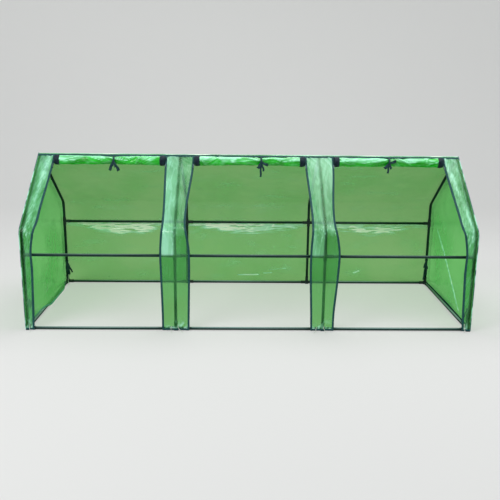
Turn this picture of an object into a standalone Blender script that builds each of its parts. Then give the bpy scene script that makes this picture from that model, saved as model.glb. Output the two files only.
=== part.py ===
"""Low three-bay greenhouse: a push-fit steel tube frame in plastic connectors, a sewn cover of
clear green film, and three film doors rolled up under the ridge and held by ribbon ties.

Metres, +Z up. The length runs along X, the doors face -Y, and the ground is at z = 0 under the
middle of the object.
"""
import math

import bmesh
import bpy
from mathutils import Euler, Matrix, Vector

# Overall sizes, measured over the film
COVER_LENGTH = 2.40
COVER_DEPTH = 0.90
COVER_HEIGHT = 0.90
BAYS = 3

# Steel tube
TUBE_DIAMETER = 0.016
TUBE_WALL = 0.0006
BEND_RADIUS = 0.045
BEND_STEPS = 6
TUBE_SIDES = 12

# Height of the knee where post and rafter axes would cross, and of the mid rails below it
KNEE_HEIGHT = 0.540
MID_RAIL_BELOW_KNEE = 0.125

# Plastic connectors: sockets that take the tube ends
SOCKET_CLEARANCE = 0.0004
SOCKET_WALL = 0.0018
BRANCH_WALL = 0.0012
SOCKET_DEPTH = 0.026
SOCKET_FLOOR_WALL = 0.0036
SLEEVE_BEYOND_BRANCH = 0.0144
CONNECTOR_SIDES = 12
CUT_OVERRUN = 0.005
SHARP_ANGLE = math.radians(40)

# Gap between pieces that touch
FIT_GAP = 0.0003

# Cover film
FILM_THICKNESS = 0.0004
HEM_HEIGHT = 0.005
HEADER_DROP = 0.014
SKIN_BEND_STEPS = 4
HEM_TO_RAIL_ROWS = 6
RAIL_TO_KNEE_ROWS = 1
SLOPE_ROWS = 8
COLUMN_LANES = 8
END_STRIP_LANES = 5
FOLD_DEPTH = 0.006
RIDGE_STEPS = 4

# Film strips beside the doors: from the middle of the tube to the zip edge, at the hem, the mid rail,
# the neck above the knee, and the ridge
COLUMN_HALF = (0.062, 0.078, 0.053, 0.080)
END_STRIP = (0.036, 0.046, 0.070, 0.084)
NECK_ABOVE_KNEE = 0.060

# Rolled doors
ROLL_RADIUS = 0.0225
ROLL_CORE_RADIUS = 0.0075
ROLL_TURNS = 3
ROLL_SHEET = 0.0010
ROLL_END_CLEARANCE = 0.003
SEAM_TO_ROLL = 0.0055
ROLL_PROUD = 0.004
ROLL_SEAM_GAP = 0.0008
POINTS_PER_TURN = 20

# Ribbon ties
RIBBON_WIDTH = 0.012
RIBBON_THICKNESS = 0.0010
RIBBON_SEAM_GAP = 0.0015
STRAP_STEPS = 14
KNOT_WIDTH = 0.014
KNOT_LENGTH = 0.013
KNOT_ANGLE = math.radians(180)
BOW_LOOP_THICKNESS = 0.009
BOW_LOOP_STEPS = 12
TAIL_LIFT = 0.004
TAIL_STEPS = 5
TIE_OFFSETS = (0.020, 0.057, 0.000)

# Where the two loops and the two tails of each bow end, along X and up from its knot
LOOP_ENDS = (
    ((-0.023, -0.053), (0.029, -0.055)),
    ((0.037, -0.020), (-0.019, -0.036)),
    ((0.036, 0.010), (-0.029, -0.031)),
)
TAIL_ENDS = (
    ((-0.007, -0.030), (0.011, -0.036)),
    ((-0.005, -0.084), (0.014, -0.052)),
    ((-0.011, -0.058), (0.007, -0.035)),
)

# Sizes that follow from the ones above
TUBE_RADIUS = TUBE_DIAMETER / 2
BORE_RADIUS = TUBE_RADIUS + SOCKET_CLEARANCE
CONNECTOR_RADIUS = BORE_RADIUS + SOCKET_WALL
BRANCH_RADIUS = BORE_RADIUS + BRANCH_WALL
SOCKET_FLOOR = BORE_RADIUS + SOCKET_FLOOR_WALL
SOCKET_REACH = SOCKET_FLOOR + SOCKET_DEPTH
SLEEVE_LENGTH = 2 * (BRANCH_RADIUS + SLEEVE_BEYOND_BRANCH)
SKIN_INSIDE = CONNECTOR_RADIUS + FIT_GAP
SKIN_OUTSIDE = SKIN_INSIDE + FILM_THICKNESS
TUBE_STOP = SOCKET_FLOOR + FIT_GAP
HALF_LENGTH = COVER_LENGTH / 2 - SKIN_OUTSIDE
HALF_DEPTH = COVER_DEPTH / 2 - SKIN_OUTSIDE
RIDGE_HEIGHT = COVER_HEIGHT - SKIN_OUTSIDE
GROUND_AXIS = CONNECTOR_RADIUS
MID_RAIL_HEIGHT = KNEE_HEIGHT - MID_RAIL_BELOW_KNEE
PORTAL_X = [-HALF_LENGTH + 2 * HALF_LENGTH * i / BAYS for i in range(BAYS + 1)]

# Front side in the (y, z) plane: the slope climbs from the knee to the ridge, and the normal points out
KNEE = Vector((-HALF_DEPTH, KNEE_HEIGHT))
RIDGE = Vector((0.0, RIDGE_HEIGHT))
SLOPE = (RIDGE - KNEE).normalized()
NORMAL = Vector((-SLOPE.y, SLOPE.x))
SLOPE_TURN = math.atan2(SLOPE.x, SLOPE.y)
BEND_TANGENT = BEND_RADIUS * math.tan(SLOPE_TURN / 2)
BEND_CENTRE = Vector((BEND_RADIUS - HALF_DEPTH, KNEE_HEIGHT - BEND_TANGENT))
SLOPE_LENGTH = (RIDGE - KNEE).length - BEND_TANGENT

# Distances up the inner face of a film strip, counted so that on the post they equal the height
KNEE_END_REACH = BEND_CENTRE.y + (BEND_RADIUS + SKIN_INSIDE) * SLOPE_TURN
STRIP_END_REACH = KNEE_END_REACH + SLOPE_LENGTH - HEADER_DROP - FIT_GAP

# Turns a flat outline so that its x and y become the object's Y and Z
FACING_ALONG = Euler((math.pi / 2, 0, math.pi / 2))


def start_empty_file():
    """Remove what the opening scene holds and make the two collections."""
    for item in list(bpy.data.objects):
        bpy.data.objects.remove(item, do_unlink=True)
    parts = bpy.data.collections.new("three_bay_greenhouse")
    helpers = bpy.data.collections.new("construction_helpers")
    bpy.context.scene.collection.children.link(parts)
    bpy.context.scene.collection.children.link(helpers)
    return parts, helpers


PARTS, HELPERS = start_empty_file()


def surface(name, colour, roughness, metallic=0.0, alpha=1.0):
    """A Principled material with one plain colour."""
    material = bpy.data.materials.new(name)
    material.use_nodes = True
    shader = material.node_tree.nodes["Principled BSDF"]
    shader.inputs["Base Color"].default_value = (*colour, 1.0)
    shader.inputs["Roughness"].default_value = roughness
    shader.inputs["Metallic"].default_value = metallic
    shader.inputs["Alpha"].default_value = alpha
    return material


POWDER_COAT = surface("powder_coated_steel", (0.020, 0.050, 0.045), 0.35, metallic=0.3)
CONNECTOR_PLASTIC = surface("connector_plastic", (0.012, 0.025, 0.028), 0.45)
COVER_FILM = surface("cover_film", (0.12, 0.52, 0.18), 0.20, alpha=0.45)
DOOR_FILM = surface("door_film", (0.05, 0.55, 0.12), 0.20)
RIBBON = surface("ribbon", (0.010, 0.045, 0.040), 0.70)


# Points of the front side

def front_slope_point(below_ridge, offset):
    """A point beside the front rafter, measured down the slope from the ridge axis."""
    return RIDGE - SLOPE * below_ridge + NORMAL * offset


def front_bend_point(fraction, offset):
    """A point on the knee bend: fraction 0 is at the post and 1 at the rafter."""
    angle = SLOPE_TURN * fraction
    reach = BEND_RADIUS + offset
    return BEND_CENTRE + Vector((-math.cos(angle), math.sin(angle))) * reach


def front_post_point(height, offset):
    """A point beside the front post."""
    return Vector((-HALF_DEPTH - offset, height))


def evenly(start, end, steps):
    """Values from start towards end, without the end itself."""
    return [start + (end - start) * i / steps for i in range(steps)]


def front_line(offset, post_heights, below_ridge, bend_rows, slope_rows):
    """Points up the post at the given heights, round the knee, and up the slope to below the ridge."""
    line = [front_post_point(height, offset) for height in post_heights]
    line += [front_bend_point(fraction, offset) for fraction in evenly(0.0, 1.0, bend_rows)]
    line += [front_slope_point(run, offset) for run in evenly(SLOPE_LENGTH, below_ridge, slope_rows)]
    return line + [front_slope_point(below_ridge, offset)]


def mirrored(line):
    """The same points on the rear side."""
    return [Vector((-point.x, point.y)) for point in line]


# Objects

def add_object(name, data, material, location=(0, 0, 0), rotation=None):
    """Put one finished piece in the parts collection."""
    piece = bpy.data.objects.new(name, data)
    if material.name not in data.materials:
        data.materials.append(material)
    piece.location = location
    if rotation is not None:
        piece.rotation_euler = rotation
    PARTS.objects.link(piece)
    return piece


def poly_curve(name, points, cyclic=False, flat=False):
    """Curve data with straight runs between the points."""
    curve = bpy.data.curves.new(name, "CURVE")
    curve.dimensions = "2D" if flat else "3D"
    spline = curve.splines.new("POLY")
    spline.points.add(len(points) - 1)
    for target, point in zip(spline.points, points):
        target.co = (*point, 0.0, 1.0) if len(point) == 2 else (*point, 1.0)
    spline.use_cyclic_u = cyclic
    spline.use_smooth = True
    return curve


def add_wall(piece, thickness, offset):
    """Give an open surface its thickness."""
    wall = piece.modifiers.new("wall", "SOLIDIFY")
    wall.thickness = thickness
    wall.offset = offset
    wall.use_even_offset = True
    return wall


def add_tube(name, points):
    """A hollow steel tube along the points of its axis."""
    curve = poly_curve(name, points)
    curve.bevel_depth = TUBE_RADIUS
    curve.bevel_resolution = (TUBE_SIDES - 4) // 2
    curve.use_fill_caps = False
    piece = add_object(name, curve, POWDER_COAT)
    add_wall(piece, TUBE_WALL, -1.0)
    return piece


def add_straight_tube(name, start, end):
    """A straight tube between two connectors: it stops at the floors of their sockets."""
    start, end = Vector(start), Vector(end)
    stop = (end - start).normalized() * TUBE_STOP
    return add_tube(name, [start + stop, end - stop])


# Frame tubes

def add_portal_tubes():
    """Each portal has a front and a rear tube: a post that bends into a rafter."""
    low = GROUND_AXIS + TUBE_STOP
    line = front_line(0.0, [low], TUBE_STOP, BEND_STEPS, 1)
    for number, x in enumerate(PORTAL_X, start=1):
        for side, points in (("front", line), ("rear", mirrored(line))):
            add_tube(f"{side}_frame_tube_{number}", [(x, *point) for point in points])


def add_rails():
    """Five rails in each bay, and a ground tube under each end wall."""
    routes = {
        "ridge_rail": (0.0, RIDGE_HEIGHT),
        "front_mid_rail": (-HALF_DEPTH, MID_RAIL_HEIGHT),
        "rear_mid_rail": (HALF_DEPTH, MID_RAIL_HEIGHT),
        "front_bottom_rail": (-HALF_DEPTH, GROUND_AXIS),
        "rear_bottom_rail": (HALF_DEPTH, GROUND_AXIS),
    }
    for bay in range(BAYS):
        for name, (y, z) in routes.items():
            start, end = (PORTAL_X[bay], y, z), (PORTAL_X[bay + 1], y, z)
            add_straight_tube(f"{name}_{bay + 1}", start, end)
    for side, x in (("left", PORTAL_X[0]), ("right", PORTAL_X[-1])):
        add_straight_tube(f"{side}_ground_tube", (x, -HALF_DEPTH, GROUND_AXIS), (x, HALF_DEPTH, GROUND_AXIS))


# Connectors

def round_bar(start, end, radius):
    """A helper cylinder between two points."""
    start, end = Vector(start), Vector(end)
    run = end - start
    mesh = bpy.data.meshes.new("bar")
    shape = bmesh.new()
    bmesh.ops.create_cone(
        shape, cap_ends=True, segments=CONNECTOR_SIDES, radius1=radius, radius2=radius, depth=run.length
    )
    half_step = Matrix.Rotation(math.pi / CONNECTOR_SIDES, 4, "Z")
    turn = run.to_track_quat("Z", "Y").to_matrix().to_4x4()
    place = Matrix.Translation((start + end) / 2) @ turn @ half_step
    bmesh.ops.transform(shape, matrix=place, verts=shape.verts)
    shape.to_mesh(mesh)
    shape.free()
    return add_helper(mesh)


def block(size):
    """A helper box about the origin."""
    mesh = bpy.data.meshes.new("block")
    shape = bmesh.new()
    bmesh.ops.create_cube(shape, size=1.0, matrix=Matrix.Diagonal((*size, 1.0)))
    shape.to_mesh(mesh)
    shape.free()
    return add_helper(mesh)


def add_helper(mesh):
    """An object that only shapes others."""
    helper = bpy.data.objects.new(mesh.name, mesh)
    helper.hide_render = True
    helper.display_type = "WIRE"
    HELPERS.objects.link(helper)
    return helper


def combined_mesh(name, joined, cuts=()):
    """One mesh from helpers: the first one, joined with the others, less the cuts."""
    body = joined[0]
    for operation, tools in (("UNION", joined[1:]), ("DIFFERENCE", cuts)):
        for tool in tools:
            step = body.modifiers.new(operation.lower(), "BOOLEAN")
            step.operation = operation
            step.object = tool
    graph = bpy.context.evaluated_depsgraph_get()
    mesh = bpy.data.meshes.new_from_object(body.evaluated_get(graph))
    mesh.transform(body.matrix_world)
    mesh.name = name
    mesh.shade_smooth()
    mesh.set_sharp_from_angle(angle=SHARP_ANGLE)
    for helper in (*joined, *cuts):
        bpy.data.objects.remove(helper, do_unlink=True)
    return mesh


def socket_mesh(name, body, branches, bores=()):
    """A connector: the body, a socket along each branch, and further bores from one point to another."""
    joined = [body]
    cuts = [round_bar(start, end, BORE_RADIUS) for start, end in bores]
    for branch in branches:
        joined.append(round_bar((0, 0, 0), branch * SOCKET_REACH, BRANCH_RADIUS))
        cuts.append(round_bar(branch * SOCKET_FLOOR, branch * (SOCKET_REACH + CUT_OVERRUN), BORE_RADIUS))
    return combined_mesh(name, joined, cuts)


def add_connectors():
    """Six kinds of connector, each used at its portals, turned to face its tubes."""
    along, back, up = Vector((1, 0, 0)), Vector((0, 1, 0)), Vector((0, 0, 1))
    front_rafter = Vector((0, -SLOPE.x, -SLOPE.y))
    rear_rafter = Vector((0, SLOPE.x, -SLOPE.y))
    foot = (2 * CONNECTOR_RADIUS,) * 3
    corner = socket_mesh("ground_corner", block(foot), (along, back, up))
    tee = socket_mesh("ground_tee", block(foot), (along, -along, up))

    def sleeve():
        return round_bar(-up * SLEEVE_LENGTH / 2, up * SLEEVE_LENGTH / 2, CONNECTOR_RADIUS)

    bore_end = up * (SLEEVE_LENGTH / 2 + CUT_OVERRUN)
    sleeve_bore = [(-bore_end, bore_end)]
    mid_end = socket_mesh("mid_end", sleeve(), (along,), sleeve_bore)
    mid_cross = socket_mesh("mid_cross", sleeve(), (along, -along), sleeve_bore)

    rafters = (front_rafter, rear_rafter)
    right_bore = (along * SOCKET_FLOOR, along * (SOCKET_REACH + CUT_OVERRUN))
    left_bore = (-along * (SOCKET_REACH + CUT_OVERRUN), -along * SOCKET_FLOOR)
    end_bar = round_bar(-along * CONNECTOR_RADIUS, along * SOCKET_REACH, CONNECTOR_RADIUS)
    ridge_end = socket_mesh("ridge_end", end_bar, rafters, [right_bore])
    cross_bar = round_bar(-along * SOCKET_REACH, along * SOCKET_REACH, CONNECTOR_RADIUS)
    ridge_cross = socket_mesh("ridge_cross", cross_bar, rafters, [right_bore, left_bore])

    quarter = math.pi / 2
    corner_turns = {(0, "front"): 0, (0, "rear"): -quarter, (BAYS, "front"): quarter, (BAYS, "rear"): math.pi}
    for portal, x in enumerate(PORTAL_X):
        is_end = portal in (0, BAYS)
        ground, middle, top = (corner, mid_end, ridge_end) if is_end else (tee, mid_cross, ridge_cross)
        facing = math.pi if portal == BAYS else 0
        number = portal + 1
        for side, y in (("front", -HALF_DEPTH), ("rear", HALF_DEPTH)):
            corner_turn = corner_turns.get((portal, side), 0)
            add_connector(f"{side}_ground_connector_{number}", ground, (x, y, GROUND_AXIS), corner_turn)
            add_connector(f"{side}_mid_connector_{number}", middle, (x, y, MID_RAIL_HEIGHT), facing)
        add_connector(f"ridge_connector_{number}", top, (x, 0, RIDGE_HEIGHT), facing)


def add_connector(name, mesh, location, facing):
    """One connector, turned about the vertical."""
    return add_object(name, mesh, CONNECTOR_PLASTIC, location, Euler((0, 0, facing)))


# Cover

def strip_edge(reach, widths):
    """The width of a film strip at a distance up its line, easing between four stations."""
    stations = (HEM_HEIGHT, MID_RAIL_HEIGHT, KNEE_END_REACH + NECK_ABOVE_KNEE, STRIP_END_REACH)
    for low, high, start, end in zip(stations, stations[1:], widths, widths[1:]):
        if reach <= high:
            share = max(0.0, (reach - low) / (high - low))
            return start + (end - start) * (0.5 - 0.5 * math.cos(math.pi * share))
    return widths[-1]


def film_grid(name, line, edges, lanes, sink):
    """An open grid: its rows follow the line in (y, z), its sides follow the edges, and sink pulls it in."""
    rows = len(line) - 1
    reaches = [line[0].y]
    for before, after in zip(line, line[1:]):
        reaches.append(reaches[-1] + (after - before).length)
    shape = bmesh.new()
    bmesh.ops.create_grid(shape, x_segments=lanes, y_segments=rows, size=0.5)
    for vert in shape.verts:
        row = round((vert.co.y + 0.5) * rows)
        left, right = edges(reaches[row])
        x = left + (right - left) * (vert.co.x + 0.5)
        point = line[row] - row_normal(line, row) * sink(x, left, right, reaches[row])
        vert.co = (x, point.x, point.y)
    mesh = bpy.data.meshes.new(name)
    shape.to_mesh(mesh)
    shape.free()
    mesh.shade_smooth()
    return mesh


def row_normal(line, row):
    """The outward normal at one point of a line that climbs the front or descends the rear."""
    before, after = line[max(row - 1, 0)], line[min(row + 1, len(line) - 1)]
    run = (after - before).normalized()
    return Vector((-run.y, run.x))


def add_panel(name, line, edges, lanes=1, sink=lambda x, left, right, reach: 0.0):
    """A film panel whose inner face lies on the grid."""
    panel = add_object(name, film_grid(name, line, edges, lanes, sink), COVER_FILM)
    add_wall(panel, FILM_THICKNESS, 1.0)
    return panel


def trough(x, left, right, reach):
    """A slack strip sinks in beside its tube; it is tight on the tube, at its zip edges and on the rails."""
    portal = min(PORTAL_X, key=lambda place: abs(place - x))
    clear = SOCKET_REACH / 2
    width = abs((right if x > portal else left) - portal)
    if abs(x - portal) <= clear or width <= clear:
        return 0.0
    across = (abs(x - portal) - clear) / (width - clear)
    below_rail = reach < MID_RAIL_HEIGHT
    low = HEM_HEIGHT if below_rail else MID_RAIL_HEIGHT
    high = MID_RAIL_HEIGHT if below_rail else STRIP_END_REACH
    lengthwise = (reach - low) / (high - low)
    return FOLD_DEPTH * math.sin(math.pi * across) ** 2 * math.sin(math.pi * lengthwise) ** 2


def over_ridge():
    """The film round the ridge rail, from the rear slope to the header seam on the front slope."""
    lean = math.pi / 2 - SLOPE_TURN
    arc = []
    for i in range(RIDGE_STEPS + 1):
        angle = lean * (1 - 2 * i / RIDGE_STEPS)
        arc.append(RIDGE + Vector((math.sin(angle), math.cos(angle))) * SKIN_INSIDE)
    return arc + [front_slope_point(HEADER_DROP, SKIN_INSIDE)]


def add_gable(name, x):
    """A flat gable panel that fills the end frame's outline."""
    front = front_line(CONNECTOR_RADIUS, [HEM_HEIGHT], 0.0, SKIN_BEND_STEPS, 1)
    outline = front + list(reversed(mirrored(front)))
    curve = poly_curve(name, outline, cyclic=True, flat=True)
    curve.fill_mode = "BOTH"
    curve.extrude = FILM_THICKNESS / 2
    return add_object(name, curve, COVER_FILM, (x, 0, 0), FACING_ALONG)


def add_cover():
    """The sewn panels of the cover, seated on the connectors."""
    half = COVER_LENGTH / 2
    rear_up = mirrored(front_line(SKIN_INSIDE, [HEM_HEIGHT], 0.0, SKIN_BEND_STEPS, 1))
    seam = 1 + SKIN_BEND_STEPS // 2
    wall, roof = rear_up[:seam + 1], rear_up[seam:-1]
    roof[0] = roof[0] + (roof[1] - roof[0]).normalized() * FIT_GAP
    add_panel("rear_wall_film", wall[::-1], lambda reach: (-half, half))
    add_panel("roof_film", (roof + over_ridge())[::-1], lambda reach: (-half, half))
    gable_x = HALF_LENGTH + SKIN_INSIDE + FILM_THICKNESS / 2
    add_gable("left_gable_film", -gable_x)
    add_gable("right_gable_film", gable_x)

    heights = evenly(HEM_HEIGHT, MID_RAIL_HEIGHT, HEM_TO_RAIL_ROWS)
    heights += evenly(MID_RAIL_HEIGHT, BEND_CENTRE.y, RAIL_TO_KNEE_ROWS)
    line = front_line(SKIN_INSIDE, heights, HEADER_DROP + FIT_GAP, SKIN_BEND_STEPS, SLOPE_ROWS)
    for number, portal_x in enumerate(PORTAL_X[1:-1], start=1):
        add_panel(f"column_film_{number}", line, column_edges(portal_x), COLUMN_LANES, trough)
    left_edges = (lambda reach: (-half, strip_edge(reach, END_STRIP) - HALF_LENGTH))
    right_edges = (lambda reach: (HALF_LENGTH - strip_edge(reach, END_STRIP), half))
    add_panel("left_end_strip_film", line, left_edges, END_STRIP_LANES, trough)
    add_panel("right_end_strip_film", line, right_edges, END_STRIP_LANES, trough)


def column_edges(portal_x):
    """The two zip edges of a column, as a function of the distance up its line."""
    def edges(reach):
        half = strip_edge(reach, COLUMN_HALF)
        return portal_x - half, portal_x + half
    return edges


# Doors

def door_span(bay):
    """The x range that a rolled door may fill: the opening at its narrowest, under the ridge."""
    left = PORTAL_X[bay] + (END_STRIP[-1] if bay == 0 else COLUMN_HALF[-1])
    right = PORTAL_X[bay + 1] - (END_STRIP[-1] if bay == BAYS - 1 else COLUMN_HALF[-1])
    return left + ROLL_END_CLEARANCE, right - ROLL_END_CLEARANCE


def polar(angle, radius):
    """A point in the (y, z) plane about the roll's centre."""
    return Vector((math.cos(angle), math.sin(angle))) * radius


ROLL_CENTRE = front_slope_point(HEADER_DROP + SEAM_TO_ROLL + ROLL_RADIUS, ROLL_PROUD)
ROLL_SEAM = front_slope_point(HEADER_DROP + ROLL_SEAM_GAP, SKIN_INSIDE + FILM_THICKNESS / 2) - ROLL_CENTRE
SHEET_RADIUS = ROLL_RADIUS - ROLL_SHEET / 2
SEAM_ANGLE = math.atan2(ROLL_SEAM.y, ROLL_SEAM.x)
LEAVE_ANGLE = SEAM_ANGLE - math.acos(SHEET_RADIUS / ROLL_SEAM.length)


def roll_outline():
    """The door's film from its seam, down behind the roll and round inwards, as a closed outline."""
    half = ROLL_SHEET / 2
    steps = ROLL_TURNS * POINTS_PER_TURN
    faces = []
    for side in (half, -half):
        face = [ROLL_SEAM + polar(LEAVE_ANGLE, side)]
        for i in range(steps + 1):
            radius = SHEET_RADIUS + (ROLL_CORE_RADIUS - SHEET_RADIUS) * i / steps
            face.append(polar(LEAVE_ANGLE - 2 * math.pi * i / POINTS_PER_TURN, radius + side))
        faces.append(face)
    return faces[0] + faces[1][::-1]


def add_rolls():
    """Three doors, each a sheet of film rolled up below the ridge."""
    for bay in range(BAYS):
        left, right = door_span(bay)
        name = f"door_roll_{bay + 1}"
        curve = poly_curve(name, roll_outline(), cyclic=True, flat=True)
        curve.fill_mode = "BOTH"
        curve.extrude = (right - left) / 2
        add_object(name, curve, DOOR_FILM, ((left + right) / 2, *ROLL_CENTRE), FACING_ALONG)


def ribbon_strip(path, across):
    """A helper ribbon along a path of 3-D points, with its width along the across direction."""
    rows = len(path) - 1
    shape = bmesh.new()
    bmesh.ops.create_grid(shape, x_segments=1, y_segments=rows, size=0.5)
    for vert in shape.verts:
        row = round((vert.co.y + 0.5) * rows)
        vert.co = path[row] + across * (vert.co.x * RIBBON_WIDTH)
    mesh = bpy.data.meshes.new("ribbon")
    shape.to_mesh(mesh)
    shape.free()
    helper = add_helper(mesh)
    add_wall(helper, RIBBON_THICKNESS, 0.0)
    return helper


def strap_path():
    """From the seam in front of the film, round the roll from its top to its back, and up behind the film."""
    radius = ROLL_RADIUS + FIT_GAP + RIBBON_THICKNESS / 2
    beside_film = ROLL_SHEET / 2 + FIT_GAP + RIBBON_THICKNESS / 2
    drop = polar(LEAVE_ANGLE - math.pi / 2, RIBBON_SEAM_GAP)
    front_end = ROLL_SEAM + drop - polar(LEAVE_ANGLE, beside_film)
    back_end = ROLL_SEAM + drop + polar(LEAVE_ANGLE, beside_film)
    top_angle = math.atan2(front_end.y, front_end.x) + math.acos(radius / front_end.length)
    turn = 2 * math.pi + LEAVE_ANGLE - top_angle
    round_roll = [polar(top_angle + turn * i / STRAP_STEPS, radius) for i in range(STRAP_STEPS + 1)]
    return [Vector((0, *point)) for point in (front_end, *round_roll, back_end)]


def loop_path(end, outward, knot_centre):
    """One loop of the bow: out from the knot to its far end and back."""
    path = []
    for i in range(BOW_LOOP_STEPS + 1):
        angle = 2 * math.pi * i / BOW_LOOP_STEPS
        share_out = 0.5 - 0.5 * math.cos(angle)
        swell = BOW_LOOP_THICKNESS / 2 * math.sin(angle) * math.sqrt(share_out)
        path.append(knot_centre + end * share_out + outward * swell)
    return path


def tail_path(end, outward, knot_centre):
    """One tail of the bow: it comes out of the knot, stands off a little and hangs to its end."""
    shares = [i / TAIL_STEPS for i in range(TAIL_STEPS + 1)]
    return [knot_centre + end * share + outward * TAIL_LIFT * math.sin(math.pi / 2 * share) for share in shares]


def add_ties():
    """A ribbon round each roll, tied in front in a bow whose loops and tails hang down."""
    outward = Vector((0, *polar(KNOT_ANGLE, 1.0)))
    knot_thickness = BOW_LOOP_THICKNESS + 2 * RIBBON_THICKNESS
    knot_centre = outward * (ROLL_RADIUS + FIT_GAP + knot_thickness / 2)
    knot_place = Matrix.Translation(knot_centre) @ outward.to_track_quat("Z", "Y").to_matrix().to_4x4()
    for bay, offset in enumerate(TIE_OFFSETS):
        knot = block((KNOT_WIDTH, KNOT_LENGTH, knot_thickness))
        knot.matrix_world = knot_place
        ribbons = [ribbon_strip(strap_path(), Vector((1, 0, 0)))]
        for ends, route in ((LOOP_ENDS[bay], loop_path), (TAIL_ENDS[bay], tail_path)):
            for aside, upward in ends:
                end = Vector((aside, 0, upward))
                across = outward.cross(end).normalized()
                ribbons.append(ribbon_strip(route(end, outward, knot_centre), across))
        name = f"door_tie_{bay + 1}"
        left, right = door_span(bay)
        mesh = combined_mesh(name, [knot, *ribbons])
        add_object(name, mesh, RIBBON, ((left + right) / 2 + offset, *ROLL_CENTRE))


add_portal_tubes()
add_rails()
add_connectors()
add_cover()
add_rolls()
add_ties()
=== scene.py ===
import math

import bmesh
import bpy
from mathutils import Matrix, Vector, noise


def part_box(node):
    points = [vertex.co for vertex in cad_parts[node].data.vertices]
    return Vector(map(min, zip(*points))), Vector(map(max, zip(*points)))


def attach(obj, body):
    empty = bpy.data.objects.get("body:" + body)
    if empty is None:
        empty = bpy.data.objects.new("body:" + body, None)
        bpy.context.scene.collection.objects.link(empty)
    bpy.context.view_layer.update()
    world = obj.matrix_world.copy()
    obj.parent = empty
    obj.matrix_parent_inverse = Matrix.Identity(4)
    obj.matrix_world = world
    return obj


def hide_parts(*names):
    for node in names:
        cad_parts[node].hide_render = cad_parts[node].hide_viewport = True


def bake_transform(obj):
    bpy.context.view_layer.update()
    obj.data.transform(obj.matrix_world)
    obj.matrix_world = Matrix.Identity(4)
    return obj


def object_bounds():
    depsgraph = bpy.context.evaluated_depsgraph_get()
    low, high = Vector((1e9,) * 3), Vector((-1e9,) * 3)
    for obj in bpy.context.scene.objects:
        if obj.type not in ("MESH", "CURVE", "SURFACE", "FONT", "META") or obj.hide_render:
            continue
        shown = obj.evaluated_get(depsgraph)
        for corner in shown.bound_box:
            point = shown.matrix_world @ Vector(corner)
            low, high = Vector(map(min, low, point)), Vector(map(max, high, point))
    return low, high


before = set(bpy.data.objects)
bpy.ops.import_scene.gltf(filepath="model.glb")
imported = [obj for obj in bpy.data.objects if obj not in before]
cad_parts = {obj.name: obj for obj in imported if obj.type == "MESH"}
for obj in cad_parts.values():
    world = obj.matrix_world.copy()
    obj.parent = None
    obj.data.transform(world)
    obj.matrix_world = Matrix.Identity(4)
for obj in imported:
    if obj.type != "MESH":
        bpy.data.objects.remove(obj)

cad_low, cad_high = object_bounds()

# Camera. The greenhouse is seen from the front, a little left of its middle and from above its ridge,
# with the whole of its length in the picture.
camera_place = Vector((-0.0691, -3.8984, 1.3154))
camera_yaw, camera_pitch, camera_roll = (math.radians(turn) for turn in (-1.126, 14.073, 0.62))
camera_data = bpy.data.cameras.new("camera")
camera_data.lens = 48.87
camera_data.sensor_width = 36.0
camera = bpy.data.objects.new("camera", camera_data)
camera.matrix_world = (
    Matrix.Translation(camera_place)
    @ Matrix.Rotation(camera_yaw, 4, "Z")
    @ Matrix.Rotation(math.pi / 2 - camera_pitch, 4, "X")
    @ Matrix.Rotation(camera_roll, 4, "Z")
)
bpy.context.scene.collection.objects.link(camera)
bpy.context.scene.camera = camera
bpy.context.scene.view_settings.view_transform = "Standard"


# Floor and backdrop. One pale sheet lies on the ground and curves up behind the greenhouse. It is drawn
# from a line that is pushed back, turned up and pushed on.
def new_node(tree, kind, inputs=None, **settings):
    """Add a node. The inputs, by name or number, are values or other nodes' outputs."""
    made = tree.nodes.new(kind)
    for name, value in settings.items():
        setattr(made, name, value)
    for socket, value in (inputs or {}).items():
        if isinstance(value, bpy.types.NodeSocket):
            tree.links.new(value, made.inputs[socket])
        else:
            made.inputs[socket].default_value = value
    return made


def new_material(name, constants):
    """A material, its node tree and its Principled shader, with constants set on the shader's sockets."""
    material = bpy.data.materials.new(name)
    material.use_nodes = True
    shader = material.node_tree.nodes["Principled BSDF"]
    for socket, value in constants.items():
        shader.inputs[socket].default_value = value
    return material, material.node_tree, shader


def reckoned(tree, operation, first, second):
    """Arithmetic on two numbers or sockets."""
    return new_node(tree, "ShaderNodeMath", {0: first, 1: second}, operation=operation).outputs[0]


def push(shape, edges, move):
    """Draw a line of edges along a vector, and return the edges at the new end."""
    drawn = bmesh.ops.extrude_edge_only(shape, edges=edges)["geom"]
    ends = [item for item in drawn if isinstance(item, bmesh.types.BMVert)]
    bmesh.ops.translate(shape, vec=move, verts=ends)
    return edges_between(ends)


def edges_between(verts):
    """The edges that have both ends among the verts, in the order of the verts."""
    chosen = set(verts)
    edges = dict.fromkeys(edge for vert in verts for edge in vert.link_edges)
    return [edge for edge in edges if chosen.issuperset(edge.verts)]


def turn_on(shape, edges, centre, axis, angle, steps):
    """Turn a line of edges round an axis, and return the edges at the new end."""
    verts = list(dict.fromkeys(vert for edge in edges for vert in edge.verts))
    spun = bmesh.ops.spin(
        shape, geom=verts + edges, cent=centre, axis=axis, angle=angle, steps=steps, use_merge=False
    )
    return edges_between([item for item in spun["geom_last"] if isinstance(item, bmesh.types.BMVert)])


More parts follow.
